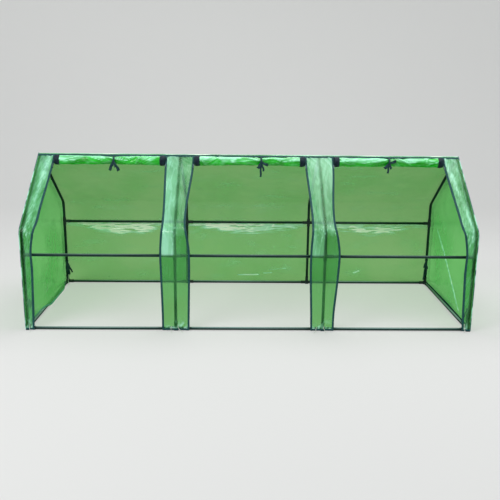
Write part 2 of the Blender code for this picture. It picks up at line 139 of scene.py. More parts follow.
floor_half_width, floor_front, floor_back = 10.0, -7.0, 3.2
backdrop_bend, backdrop_height, backdrop_steps = 1.8, 6.0, 24
floor_dull, floor_bright = (0.770, 0.775, 0.760, 1), (0.800, 0.800, 0.790, 1)
even_share, even_level = 0.55, 0.86
floor_shape = bmesh.new()
corners = [floor_shape.verts.new((side * floor_half_width, floor_front, 0.0)) for side in (-1, 1)]
line = push(floor_shape, [floor_shape.edges.new(corners)], Vector((0, floor_back - floor_front, 0)))
line = turn_on(floor_shape, line, (0, floor_back, backdrop_bend), (1, 0, 0), math.pi / 2, backdrop_steps)
push(floor_shape, line, Vector((0, 0, backdrop_height - backdrop_bend)))
bmesh.ops.recalc_face_normals(floor_shape, faces=floor_shape.faces)
floor_mesh = bpy.data.meshes.new("studio_floor")
floor_shape.to_mesh(floor_mesh)
floor_shape.free()
floor_mesh.shade_smooth()
studio_floor = bpy.data.objects.new("studio_floor", floor_mesh)
bpy.context.scene.collection.objects.link(studio_floor)
floor_material, tree, shader = new_material("studio_floor", {"Roughness": 0.9})
floor_mesh.materials.append(floor_material)
grain = new_node(tree, "ShaderNodeTexNoise", {"Scale": 2.0, "Detail": 3.0})
ramp = new_node(tree, "ShaderNodeValToRGB", {"Fac": grain.outputs["Fac"]})
ramp.color_ramp.elements[0].color = floor_dull
ramp.color_ramp.elements[1].color = floor_bright
tree.links.new(ramp.outputs["Color"], shader.inputs["Base Color"])
even = new_node(tree, "ShaderNodeEmission", {"Color": ramp.outputs["Color"], "Strength": even_level})
seen = new_node(tree, "ShaderNodeLightPath").outputs["Is Camera Ray"]
seen = reckoned(tree, "MULTIPLY", seen, even_share)
floor_look = new_node(tree, "ShaderNodeMixShader", {0: seen, 1: shader.outputs[0], 2: even.outputs[0]})
tree.links.new(floor_look.outputs[0], tree.nodes["Material Output"].inputs["Surface"])

# Light. A wide lamp at the upper left front models the film, a second one hangs over the roof, a weak
# third one stands at the right, and the world fills the shadows. Cameras, gloss and glass see it white.
ambient_level, ambient_colour = 0.50, (0.93, 0.97, 1.0, 1)
lamp_aim = Vector((0, 0, 0.4))
world = bpy.data.worlds.new("studio")
world.use_nodes = True
bpy.context.scene.world = world
tree = world.node_tree
tree.nodes.clear()
rays = new_node(tree, "ShaderNodeLightPath").outputs
seen = reckoned(tree, "MAXIMUM", rays["Is Camera Ray"], rays["Is Glossy Ray"])
seen = reckoned(tree, "MAXIMUM", seen, rays["Is Transmission Ray"])
ambient = new_node(tree, "ShaderNodeBackground", {"Color": ambient_colour, "Strength": ambient_level})
white = new_node(tree, "ShaderNodeBackground", {"Color": (1, 1, 1, 1), "Strength": 1.0})
shown = new_node(tree, "ShaderNodeMixShader", {0: seen, 1: ambient.outputs[0], 2: white.outputs[0]})
new_node(tree, "ShaderNodeOutputWorld", {"Surface": shown.outputs[0]})

lamps = {
    "upper_left_lamp": ((-2.8, -2.6, 3.2), (2.2, 1.6), 95.0),
    "roof_lamp": ((0.5, 0.6, 3.4), (3.0, 2.0), 70.0),
    "right_lamp": ((3.4, -1.6, 2.2), (1.6, 1.6), 28.0),
}
for name, (place, size, power) in lamps.items():
    lamp_data = bpy.data.lights.new(name, "AREA")
    lamp_data.shape = "RECTANGLE"
    lamp_data.size, lamp_data.size_y = size
    lamp_data.energy = power
    lamp = bpy.data.objects.new(name, lamp_data)
    aim = lamp_aim - Vector(place)
    lamp.matrix_world = Matrix.Translation(place) @ aim.to_track_quat("-Z", "Y").to_matrix().to_4x4()
    bpy.context.scene.collection.objects.link(lamp)

# Frame tubes. Thin-walled steel tube of 16 mm, cut to length and bent once at the knee of each portal. Its
# powder coat is a very dark green, with a painted highlight along the top that is brighter where the tube
# lies on the ground. The ends push into plastic connectors.
bays = 3
portals = range(1, bays + 2)
steel_wall = 0.0006
tube_sides = 28
knee_steps = 12
knee_height = 0.540
bend_radius = 0.045
coat_dark, coat_light = (0.004, 0.022, 0.017, 1), (0.008, 0.032, 0.026, 1)
coat_top_highlight, coat_ground_highlight = (0.085, 0.140, 0.122, 1), (0.250, 0.370, 0.350, 1)
coat_dust = (0.09, 0.13, 0.12, 1)


def middle(node):
    """The middle of a CAD node's box."""
    low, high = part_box(node)
    return (low + high) / 2


portal_x = [middle(f"front_frame_tube_{number}").x for number in portals]
half_depth = -middle("front_mid_rail_1").y
ridge_height = middle("ridge_rail_1").z
ground_axis = middle("front_bottom_rail_1").z
rail_height = middle("front_mid_rail_1").z
tube_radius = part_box("ridge_rail_1")[1].z - ridge_height
tube_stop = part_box("front_frame_tube_1")[0].z - ground_axis
ridge = Vector((0.0, ridge_height))
knee = Vector((-half_depth, knee_height))
slope = (ridge - knee).normalized()
slope_out = Vector((-slope.y, slope.x))
slope_turn = math.atan2(slope.x, slope.y)
bend_start = knee_height - bend_radius * math.tan(slope_turn / 2)
bend_centre = Vector((bend_radius - half_depth, bend_start))
slope_length = (ridge - bend_centre).dot(slope)


def add_piece(name, shape, material, body, replaced=()):
    """A finished shape becomes a piece that rides on a body and stands for its CAD nodes."""
    mesh = bpy.data.meshes.new(name)
    shape.to_mesh(mesh)
    shape.free()
    mesh.shade_smooth()
    mesh.materials.append(material)
    piece = bpy.data.objects.new(name, mesh)
    bpy.context.scene.collection.objects.link(piece)
    if body:
        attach(piece, body)
    if replaced:
        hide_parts(*replaced)
    return piece


def add_thickness(piece, thickness, offset):
    """Give an open sheet its thickness."""
    wall = piece.modifiers.new("thickness", "SOLIDIFY")
    wall.thickness = thickness
    wall.offset = offset


def stepped(tree, value, start, end, low=0.0, high=1.0):
    """A smooth step: low where the value is under start, and high where it is over end."""
    limits = {"Value": value, "From Min": start, "From Max": end, "To Min": low, "To Max": high}
    return new_node(tree, "ShaderNodeMapRange", limits, interpolation_type="SMOOTHSTEP").outputs[0]


def mixed(tree, factor, first, second):
    """A colour between two colours or sockets."""
    return new_node(tree, "ShaderNodeMix", {0: factor, 6: first, 7: second}, data_type="RGBA").outputs[2]


def new_group(name, inputs, outputs):
    """An empty shader group with named inputs and outputs, and its two end nodes' sockets."""
    group = bpy.data.node_groups.new(name, "ShaderNodeTree")
    for title, kind, value in inputs:
        socket = group.interface.new_socket(title, in_out="INPUT", socket_type=kind)
        socket.default_value = value
    for title, kind in outputs:
        group.interface.new_socket(title, in_out="OUTPUT", socket_type=kind)
    return group, group.nodes.new("NodeGroupInput").outputs, group.nodes.new("NodeGroupOutput").inputs


def object_place(tree):
    """The place on the object, in metres."""
    return new_node(tree, "ShaderNodeTexCoord").outputs["Object"]


def clouded(tree, place, scale, detail, distortion=0.0):
    """Soft noise over a place, about 0.5."""
    inputs = {"Vector": place, "Scale": scale, "Detail": detail, "Distortion": distortion}
    return new_node(tree, "ShaderNodeTexNoise", inputs).outputs["Fac"]


def upward_part(tree, vector):
    """The Z of a vector."""
    return new_node(tree, "ShaderNodeSeparateXYZ", {0: vector}).outputs["Z"]


def placed(tree, group, inputs):
    """The outputs of a shader group that is placed in a material."""
    return new_node(tree, "ShaderNodeGroup", inputs, node_tree=group).outputs


def raise_surface(tree, shader, height, strength, distance):
    """Bump a shader's surface by a height."""
    bump = new_node(tree, "ShaderNodeBump", {"Height": height, "Strength": strength, "Distance": distance})
    tree.links.new(bump.outputs[0], shader.inputs["Normal"])


outdoor_dust, given, out = new_group(
    "outdoor_dust",
    [
        ("Colour", "NodeSocketColor", (0.1, 0.1, 0.1, 1)),
        ("Dust", "NodeSocketColor", (0.3, 0.28, 0.24, 1)),
        ("Amount", "NodeSocketFloat", 0.3),
        ("Scale", "NodeSocketFloat", 30.0),
    ],
    [("Colour", "NodeSocketColor"), ("Mask", "NodeSocketFloat")],
)
tree = outdoor_dust
patches = clouded(tree, object_place(tree), given["Scale"], 5.0)
facing_up = upward_part(tree, new_node(tree, "ShaderNodeNewGeometry").outputs["Normal"])
lying = stepped(tree, facing_up, -0.3, 0.9, 0.25, 1.0)
speckled = stepped(tree, patches, 0.46, 0.72)
mask = reckoned(tree, "MULTIPLY", reckoned(tree, "MULTIPLY", lying, speckled), given["Amount"])
tree.links.new(mask, out["Mask"])
tree.links.new(mixed(tree, mask, given["Colour"], given["Dust"]), out["Colour"])

powder_coat, tree, shader = new_material("powder_coat", {"Specular IOR Level": 0.10})
coat_place = object_place(tree)
facing_up = upward_part(tree, new_node(tree, "ShaderNodeNewGeometry").outputs["Normal"])
coat_cloud = stepped(tree, clouded(tree, coat_place, 9.0, 3.0), 0.35, 0.65)
# Painted highlight: tube tops are painted lighter, and the tops of tubes lying on the ground lighter still.
top_highlight = stepped(tree, facing_up, 0.42, 0.80, 0.0, 0.9)
on_ground = stepped(tree, upward_part(tree, coat_place), 0.020, 0.035, 0.75, 0.0)
ground_highlight = reckoned(tree, "MULTIPLY", on_ground, stepped(tree, facing_up, 0.15, 0.85))
coat_colour = mixed(tree, top_highlight, mixed(tree, coat_cloud, coat_dark, coat_light), coat_top_highlight)
coat_colour = mixed(tree, ground_highlight, coat_colour, coat_ground_highlight)
dusting = {"Colour": coat_colour, "Dust": coat_dust, "Amount": 0.14, "Scale": 60.0}
dusted = placed(tree, outdoor_dust, dusting)
tree.links.new(dusted["Colour"], shader.inputs["Base Color"])
tree.links.new(stepped(tree, dusted["Mask"], 0.0, 0.14, 0.28, 0.55), shader.inputs["Roughness"])
raise_surface(tree, shader, clouded(tree, coat_place, 1400.0, 1.0), 0.10, 0.0004)


def seated(place, direction):
    """The matrix that takes a shape to a place and turns its Z along a direction."""
    return Matrix.Translation(place) @ direction.to_track_quat("Z", "Y").to_matrix().to_4x4()


def tube_start(start, run):
    """A ring of tube at a point, square to its run, and its edges."""
    shape = bmesh.new()
    bmesh.ops.create_circle(shape, segments=tube_sides, radius=tube_radius, matrix=seated(start, run))
    return shape, list(shape.edges)


def add_steel_tube(node, shape):
    """Finish one tube and let it stand for its CAD node."""
    bmesh.ops.recalc_face_normals(shape, faces=shape.faces)
    piece = add_piece(f"steel_{node}", shape, powder_coat, "frame", [node])
    add_thickness(piece, steel_wall, -1.0)


for number, x in enumerate(portal_x, start=1):
    for side, facing_y in (("front", -1), ("rear", 1)):
        foot = Vector((x, facing_y * half_depth, ground_axis + tube_stop))
        post = Vector((0, 0, bend_start - foot.z))
        rafter = Vector((0, -facing_y * slope.x, slope.y)) * (slope_length - tube_stop)
        shape, ring = tube_start(foot, post)
        ring = push(shape, ring, post)
        bend_axis = (x, -facing_y * bend_centre.x, bend_start)
        ring = turn_on(shape, ring, bend_axis, (1, 0, 0), facing_y * slope_turn, knee_steps)
        push(shape, ring, rafter)
        add_steel_tube(f"{side}_frame_tube_{number}", shape)

rail_names = ("ridge_rail", "front_mid_rail", "rear_mid_rail", "front_bottom_rail", "rear_bottom_rail")
straight_tubes = [f"{name}_{bay + 1}" for name in rail_names for bay in range(bays)]
for node in straight_tubes + ["left_ground_tube", "right_ground_tube"]:
    low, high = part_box(node)
    size = high - low
    longest = max(range(3), key=lambda axis: size[axis])
    run = Vector((0, 0, 0))
    run[longest] = size[longest]
    shape, ring = tube_start((low + high) / 2 - run / 2, run)
    push(shape, ring, run)
    add_steel_tube(node, shape)

# Connectors. Injection-moulded plastic, nearly black, with a raised collar round each socket mouth. The
# tubes push in until they meet the floor of the socket.
connector_radius = ground_axis
collar_width, collar_inside, collar_rounding = 0.0035, 0.0092, 0.0004
collar_steps, merge_distance = 24, 0.00001
collar_section = [
    (collar_inside, -collar_width),
    (connector_radius, -collar_width),
    (connector_radius, 0),
    (collar_inside, 0),
]
socket_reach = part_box("front_ground_connector_1")[1].x - portal_x[0]
sleeve_low, sleeve_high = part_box("front_mid_connector_1")
sleeve_half = (sleeve_high.z - sleeve_low.z) / 2
along, back, up = Vector((1, 0, 0)), Vector((0, 1, 0)), Vector((0, 0, 1))
front_rafter, rear_rafter = Vector((0, -slope.x, -slope.y)), Vector((0, slope.x, -slope.y))
plastic_dark, plastic_light = (0.007, 0.014, 0.016, 1), (0.014, 0.026, 0.028, 1)
plastic_dust = (0.10, 0.13, 0.12, 1)

connector_plastic, tree, shader = new_material("connector_plastic", {"Specular IOR Level": 0.20})
flow = clouded(tree, object_place(tree), 55.0, 4.0)
plastic_colour = mixed(tree, stepped(tree, flow, 0.3, 0.7), plastic_dark, plastic_light)
dusting = {"Colour": plastic_colour, "Dust": plastic_dust, "Amount": 0.20, "Scale": 120.0}
tree.links.new(placed(tree, outdoor_dust, dusting)["Colour"], shader.inputs["Base Color"])
tree.links.new(stepped(tree, flow, 0.3, 0.7, 0.36, 0.50), shader.inputs["Roughness"])
raise_surface(tree, shader, flow, 0.15, 0.0005)


def add_collars(name, centre, mouths):
    """The raised collars of one connector, each at a reach along a direction from its centre."""
    shape = bmesh.new()
    for direction, reach in mouths:
        verts = [shape.verts.new((radius, 0, height)) for radius, height in collar_section]
        ring = [shape.edges.new((verts[i - 1], verts[i])) for i in range(len(verts))]
        bmesh.ops.spin(
            shape,
            geom=verts + ring,
            cent=(0, 0, 0),
            axis=(0, 0, 1),
            angle=math.tau,
            steps=collar_steps,
            use_merge=True,
        )
        made = [vert for vert in shape.verts if not vert.tag]
        bmesh.ops.transform(shape, matrix=seated(centre + direction * reach, direction), verts=made)
        for vert in made:
            vert.tag = True
    bmesh.ops.remove_doubles(shape, verts=shape.verts, dist=merge_distance)
    bmesh.ops.recalc_face_normals(shape, faces=shape.faces)
    collars = add_piece(name, shape, connector_plastic, "frame")
    rounding = collars.modifiers.new("moulded_edges", "BEVEL")
    rounding.width = collar_rounding
    rounding.segments = 2
    rounding.limit_method = "ANGLE"


for number, x in enumerate(portal_x, start=1):
    inward = [side * along for side in (1, -1) if 1 <= number + side <= bays + 1]
    for side, facing_y in (("front", -1), ("rear", 1)):
        y = facing_y * half_depth
        at_ground = inward + [up] + ([-facing_y * back] if len(inward) == 1 else [])
        ground = Vector((x, y, ground_axis))
        add_collars(f"{side}_ground_collars_{number}", ground, [(way, socket_reach) for way in at_ground])
        at_rail = [(way, socket_reach) for way in inward] + [(up, sleeve_half), (-up, sleeve_half)]
        add_collars(f"{side}_mid_collars_{number}", Vector((x, y, rail_height)), at_rail)
    at_ridge = [(way, socket_reach) for way in inward + [front_rafter, rear_rafter]]
    add_collars(f"ridge_collars_{number}", Vector((x, 0, ridge_height)), at_ridge)
for name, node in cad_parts.items():
    if "connector" in name:
        node.data.materials.clear()
        node.data.materials.append(connector_plastic)

# Rear wall and roof. One panel of clear green film, cut 2.40 by 1.13 m, from the header seam in front over
# the ridge to the hem behind. The frame stretches it. The folds of its packing show, and it glares where it
# hangs slack below the rear mid rail.
header_drop = 0.014
hem_height = 0.005
film_half_length = cad_high.x - 0.0002
film_off_axis = cad_high.y - 0.0002 - half_depth
film_bend = bend_radius + film_off_axis
knee_reach = bend_start + film_bend * slope_turn
top_reach = knee_reach + slope_length
ridge_lean = math.pi / 2 - slope_turn
ridge_arc = 2 * ridge_lean * film_off_axis
roof_run = header_drop + ridge_arc + top_reach - hem_height


def front_place(reach):
    """The front tube's axis beside a point of the film, and the way out of the object, in (y, z)."""
    turn = min(max((reach - bend_start) / film_bend, 0.0), slope_turn)
    out = Vector((-math.cos(turn), math.sin(turn)))
    axis = bend_centre + out * bend_radius
    if reach < bend_start:
        axis.y = reach
    return axis + slope * max(reach - knee_reach, 0.0), out


def roof_place(run):
    """The same for the roof and rear wall, counted from the header seam over the ridge."""
    if run < header_drop:
        return ridge - slope * (header_drop - run), slope_out.copy()
    if run < header_drop + ridge_arc:
        turn = (run - header_drop) / film_off_axis - ridge_lean
        return ridge.copy(), Vector((math.sin(turn), math.cos(turn)))
    axis, out = front_place(top_reach - (run - header_drop - ridge_arc))
    return Vector((-axis.x, axis.y)), Vector((-out.x, out.y))


def mapped_sheet(lanes, rows, size, place):
    """A grid laid where place(across, along) says, both from 0 to 1. UVs are in metres, and the point
    attribute pale says how pale the film is there, from milky creases and from painted highlights and
    reflections."""
    shape = bmesh.new()
    cloth = shape.loops.layers.uv.new("cloth")
    pale = shape.verts.layers.float.new("pale")
    bmesh.ops.create_grid(shape, x_segments=lanes, y_segments=rows, size=0.5)
    for face in shape.faces:
        for loop in face.loops:
            loop[cloth].uv = [(share + 0.5) * length for share, length in zip(loop.vert.co, size)]
    for vert in shape.verts:
        vert.co, vert[pale] = place(vert.co.x + 0.5, vert.co.y + 0.5)
    return shape


def waver(*place):
    """Smooth noise, about -1 to 1. The place is counted in waves, and its last number picks a pattern."""
    return noise.noise(Vector(place))


def crest(*place):
    """Sharp folds: 1 along their crests, and lower away from them."""
    return 1 - 3 * abs(waver(*place))


def near(distance, reach):
    """1 at no distance, fading smoothly to 0 past a reach."""
    return math.exp(-((distance / reach) ** 2))


def as_share(value):
    """A value as a share, kept between 0 and 1."""
    return min(1.0, max(0.0, value))


def slack(value, supports, ease):
    """0 on a support and 1 from a distance of ease, with a smooth rise between."""
    share = min(1.0, min(abs(value - support) for support in supports) / ease)
    return share * share * (3 - 2 * share)


def crumple(across, along, seed):
    """The relief of film that was packed folded: facets between ridges, about -1 to 1."""
    broad = waver(across * 6, along * 5, seed)
    slant = crest(across * 13 + along * 8, along * 11 - across * 6, seed + 4)
    fine = waver(across * 38, along * 30, seed + 9)
    return 0.5 * broad + 0.4 * slant + 0.15 * fine


film_creases, given, out = new_group(
    "film_creases",
    [
        ("Scale", "NodeSocketFloat", 10.0),
        ("Stretch", "NodeSocketVector", (1, 1, 1)),
        ("Turn", "NodeSocketVector", (0, 0, 0)),
    ],
    [(title, "NodeSocketFloat") for title in ("Height", "Line", "Streak", "Cloud")],
)
tree = film_creases
place = object_place(tree)
turned = new_node(tree, "ShaderNodeMapping", {"Vector": place, "Rotation": given["Turn"]}).outputs[0]
drawing = {0: turned, 1: given["Stretch"]}
drawn = new_node(tree, "ShaderNodeVectorMath", drawing, operation="MULTIPLY").outputs[0]
waves = clouded(tree, drawn, given["Scale"], 4.0, 0.7)
ripples = clouded(tree, drawn, reckoned(tree, "MULTIPLY", given["Scale"], 3.1), 3.0)
off_crest = reckoned(tree, "ABSOLUTE", reckoned(tree, "SUBTRACT", waves, 0.5), 0.0)
on_crest = stepped(tree, off_crest, 0.0, 0.025, 1.0, 0.0)
line = reckoned(tree, "MULTIPLY", on_crest, stepped(tree, ripples, 0.48, 0.64))
height = reckoned(tree, "ADD", waves, reckoned(tree, "MULTIPLY", ripples, 0.35))
tree.links.new(height, out["Height"])
tree.links.new(line, out["Line"])
tree.links.new(stepped(tree, waves, 0.40, 0.62), out["Streak"])
tree.links.new(clouded(tree, place, 3.1, 3.0), out["Cloud"])

film_body, film_milky_sheen, film_glare = (0.05, 0.50, 0.08, 1), (0.42, 0.96, 0.68, 1), (0.86, 1.00, 0.78, 1)
milky_sheen_share, glare_share, edge_share, fold_rise = 0.42, 0.48, 0.35, 0.004


def new_film(name, tint, haze, relief, creased, broken_milk, folding):
    """Clear film: light passes with a tint, and a share of it, the haze, is turned back by the glossy
    surface.
    Where the attribute pale nears 1 it turns milky, with creases and painted sky reflection; near 2 it
    glares."""
    material, tree, gloss = new_material(name, {"Roughness": 0.20, "Specular IOR Level": 0.8})
    folds = placed(tree, film_creases, folding)
    pale = new_node(tree, "ShaderNodeAttribute", attribute_name="pale").outputs["Fac"]
    glance = new_node(tree, "ShaderNodeLayerWeight", {"Blend": 0.35}).outputs["Facing"]
    streak = stepped(tree, folds["Streak"], 0.0, 1.0, 1 - broken_milk, 1 + broken_milk)
    broken = reckoned(tree, "MULTIPLY", pale, streak)
    milky_sheen = reckoned(tree, "ADD", reckoned(tree, "MULTIPLY", folds["Line"], creased), broken)
    milky_sheen = reckoned(tree, "MINIMUM", milky_sheen, 1.0)
    glare = stepped(tree, broken, 1.0, 2.0)
    turned = stepped(tree, folds["Cloud"], 0.35, 0.65, haze * 0.25, haze * 1.75)
    turned = reckoned(tree, "ADD", turned, reckoned(tree, "MULTIPLY", milky_sheen, milky_sheen_share))
    turned = reckoned(tree, "ADD", turned, reckoned(tree, "MULTIPLY", glare, glare_share))
    turned = reckoned(tree, "ADD", turned, stepped(tree, glance, 0.2, 1.0, 0.0, edge_share))
    colour = mixed(tree, glare, mixed(tree, milky_sheen, film_body, film_milky_sheen), film_glare)
    tree.links.new(colour, gloss.inputs["Base Color"])
    raise_surface(tree, gloss, folds["Height"], relief, fold_rise)
    clear = new_node(tree, "ShaderNodeBsdfTransparent", {"Color": tint})
    both = new_node(tree, "ShaderNodeMixShader", {0: turned, 1: clear.outputs[0], 2: gloss.outputs[0]})
    tree.links.new(both.outputs[0], tree.nodes["Material Output"].inputs["Surface"])
    return material


film_tint = (0.262, 0.540, 0.195, 1)
cover_folding = {"Scale": 7.0, "Stretch": (0.6, 1.0, 1.0)}
cover_film = new_film("cover_film", film_tint, 0.15, 0.35, 0.12, 0.35, cover_folding)

cover_lanes, cover_rows = 240, 400
rear_rail_run = header_drop + ridge_arc + top_reach - rail_height
rear_supports = [header_drop + ridge_arc / 2, rear_rail_run, roof_run]
portal_ease, rail_ease, swag_ease = 0.10, 0.12, 0.34
rear_sag, rear_crumple, least_slack = 0.010, 0.0028, 0.3
glare_below_rail, glare_swag, glare_depth = 0.012, 0.028, 0.028
glare_waver, glare_relief, glare_strength = 0.014, 0.003, 3.2
left_glare, right_glare = 1.0, 0.8
wisp_level, broad_share, fine_share = 0.85, 0.9, 1.9
ridge_top = header_drop + ridge_arc * 0.30
sheen_strength, sheen_change, sheen_width = 1.5, 0.9, 0.0040
smear_strength, roof_palest, strip_palest = 0.38, 2.0, 1.8
fold_marks = [
    (Vector((-0.058, 0.0560)), Vector((0.076, 0.0590)), 2.8),
    (Vector((0.111, 0.0690)), Vector((0.161, 0.0725)), 1.9),
    (Vector((0.151, 0.0930)), Vector((0.250, 0.1050)), 0.9),
    (Vector((0.709, 0.0737)), Vector((0.742, 0.0884)), 1.6),
]
fold_mark_width = 0.0030


def rear_glare(x, run):
    """How the film glares in a wispy band that hangs between the portals below the rear mid rail."""
    swag = slack(x, portal_x, swag_ease)
    full = 0.5 + 0.5 * swag
    below_rail = run - rear_rail_run - glare_below_rail - glare_swag * swag
    band = near(below_rail + glare_waver * waver(x * 8, 0, 2), glare_depth * full)
    broad_wisps = waver(x * 6, run * 75, 6)
    fine_wisps = waver(x * 15 + run * 40, run * 135, 9)
    wisps = max(0.0, wisp_level + broad_share * broad_wisps + fine_share * fine_wisps)
    return (left_glare if x < portal_x[2] else right_glare) * band * wisps * full


def fold_mark(x, height):
    """How pale the short folds low on the rear wall make a point of it."""
    pale = 0.0
    for start, end, strength in fold_marks:
        along = (Vector((x, height)) - start).dot(end - start) / (end - start).length_squared
        beside = (start.lerp(end, as_share(along)) - Vector((x, height))).length
        pale = max(pale, strength * near(beside, fold_mark_width))
    return pale


def roof_point(x, run, lift=0.0):
    """A point of the roof and rear wall film, and how pale it is there."""
    axis, out = roof_place(run)
    free = min(slack(x, portal_x, portal_ease), slack(run, rear_supports, rail_ease))
    relief = max(free, least_slack) * rear_crumple * crumple(x, run, 3.0)
    # Painted highlights: the glare band below the rear rail and the sheen along the ridge are painted into
    # pale.
    glaring = rear_glare(x, run)
    sheen = (sheen_strength + sheen_change * waver(x * 9, 0, 4)) * near(run - ridge_top, sheen_width)
    smears = smear_strength * max(0.0, waver(x * 5, run * 17, 12) + 0.4 * waver(x * 17, run * 40, 15))
    marks = fold_mark(x, header_drop + ridge_arc + top_reach - run)
    point = axis + out * (film_off_axis + lift - free * rear_sag + relief + glare_relief * glaring)
    pale = glare_strength * glaring + sheen + smears + marks
    return Vector((x, point.x, point.y)), min(roof_palest, pale)


def roof_share(across, run, lift=0.0):
    """The same at a share of the length."""
    return roof_point((2 * across - 1) * film_half_length, run, lift)


cover = mapped_sheet(
    cover_lanes,
    cover_rows,
    (2 * film_half_length, roof_run),
    lambda across, along: roof_share(across, along * roof_run),
)
rear_nodes = ["rear_wall_film", "roof_film"]
rear_cover = add_piece("rear_cover", cover, cover_film, "frame", rear_nodes)

# Gables. Two flat panels of the same film, cut to the outline of the end frames. They hang a little slack,
# so they bow inwards between the posts. The right one keeps a sharp white crease from its packing, and the
# left one's hem is tucked in over the ground tube.
gable_lanes, gable_rows = 170, 110
gable_sag, gable_crumple, gable_facets = 0.014, 0.0025, 1.2
gable_ease, gable_hem_ease, least_gable_slack = 0.13, 0.07, 0.25
gable_half = half_depth + film_off_axis
crease_start, crease_end, crease_bow = Vector((0.235, 0.412)), Vector((-0.262, 0.058)), 0.012
crease_width, crease_relief, crease_pale = 0.0085, 0.004, 1.35
tuck_depth, tuck_lift, tuck_height = 0.030, 0.017, 0.095
tuck_front, tuck_rear = (-0.300, 0.28), (0.425, 0.17)
gable_tint = (0.235, 0.660, 0.210, 1)
gable_folding = {"Scale": 7.0, "Stretch": (1.0, 0.8, 1.0)}
gable_film = new_film("gable_film", gable_tint, 0.28, 0.35, 0.12, 0.35, gable_folding)


def gable_outline(share):
    """The gable's outline from the rear post's top over the ridge to the front post's top, in (y, z)."""
    side = 1 if share < 0.5 else -1
    reach = bend_start + (top_reach - bend_start) * (1 - abs(2 * share - 1))
    axis, out = front_place(reach)
    point = axis + out * film_off_axis
    return Vector((-side * point.x, point.y))


def packing_crease(y, z):
    """1 along the bowed crease of the right gable, and 0 away from it."""
    run = crease_end - crease_start
    share = as_share((Vector((y, z)) - crease_start).dot(run) / run.length_squared)
    bow = Vector((run.y, -run.x)).normalized() * crease_bow * math.sin(math.pi * share)
    return near((Vector((y, z)) - crease_start - run * share - bow).length, crease_width)


def gable_point(side, share, rise):
    """A point of a gable, and how pale it is there. Side is -1 at the left, share runs along the hem, and
    rise from the hem to the top."""
    top = gable_outline(share if side < 0 else 1 - share)
    y, z = top.x, hem_height + (top.y - hem_height) * rise
    in_slope = max(0, (Vector((-abs(y), z)) - knee).dot(-slope_out))
    free = min(slack(half_depth - abs(y), [0], gable_ease), slack(in_slope, [0], gable_ease))
    free = min(free, slack(z, [ground_axis], gable_hem_ease))
    relief = crumple(y * gable_facets, z * gable_facets, 20.0 + side)
    crease = packing_crease(y, z) if side > 0 else 0.0
    pale = crease_pale * crease * (0.8 + 0.6 * waver(y * 40, z * 40, 5))
    inward = free * (gable_sag * (1 + 0.3 * relief) - crease_relief * crease)
    inward -= max(free, least_gable_slack) * gable_crumple * relief
    if side < 0 and tuck_front[0] < y < tuck_rear[0]:
        tucked = min(slack(y, [start], ease) for start, ease in (tuck_front, tuck_rear))
        near_hem = 1 - slack(z, [hem_height], tuck_height)
        inward += tuck_depth * tucked * near_hem
        z += tuck_lift * 4 * tucked * (1 - tucked) * near_hem
    return Vector((side * (film_half_length - inward), y, z)), pale


for side, name in ((-1, "left"), (1, "right")):
    panel = mapped_sheet(
        gable_lanes,
        gable_rows,
        (2 * gable_half, ridge_height),
        lambda across, along: gable_point(side, across, along),
    )
    gable_name, gable_node = f"{name}_gable_cover", f"{name}_gable_film"
    gable = add_piece(gable_name, panel, gable_film, "frame", [gable_node])

# Columns and end strips. Four upright strips of film between and beside the doors, tented over the front
# tubes. The zips pull their edges in, they are narrowest above the knee, and they crumple at the ground.
# The film is clearer where it lies on a tube, and a long fold slants down the slope of each end strip.
column_1_left, column_1_right = (0.071, 0.078, 0.068, 0.080), (0.072, 0.078, 0.053, 0.080)
column_2_left, column_2_right = (0.066, 0.078, 0.067, 0.080), (0.057, 0.078, 0.053, 0.080)
end_strip_width = (0.036, 0.046, 0.070, 0.084)
neck_above_knee = 0.060
strip_top = top_reach - header_drop
strip_length = strip_top - hem_height
strip_rows, column_lanes, end_lanes = 300, 42, 30
edge_pull, fold_depth, cross_fold_depth, crumple_depth = 0.009, 0.004, 0.0022, 0.004
tube_seat, least_beside_tube, front_ease, pull_curve = 0.012, 0.01, 0.10, 1.3
knee_gather, knee_spread, top_spread, left_hem_spread, right_hem_spread = 0.03, 0.06, 0.09, 0.030, 0.045
front_supports = [ground_axis, rail_height, top_reach]
strip_tint = (0.235, 0.530, 0.180, 1)
strip_folding = {"Scale": 110.0, "Stretch": (1.0, 0.25, 0.07), "Turn": (0.0, -0.32, 0.0)}
strip_film = new_film("strip_film", strip_tint, 0.12, 0.40, 0.17, 0.20, strip_folding)
column_folding = {"Scale": 60.0, "Stretch": (1.0, 0.25, 0.05), "Turn": (0.0, -0.10, 0.0)}
column_film = new_film("column_film", strip_tint, 0.13, 0.35, 0.10, 0.10, column_folding)
strips = [
    {"name": "left_end_strip", "portal": portal_x[0], "left": None, "right": end_strip_width},
    {"name": "column_1", "portal": portal_x[1], "left": column_1_left, "right": column_1_right},
    {"name": "column_2", "portal": portal_x[2], "left": column_2_left, "right": column_2_right},
    {"name": "right_end_strip", "portal": portal_x[3], "left": end_strip_width, "right": None},
]
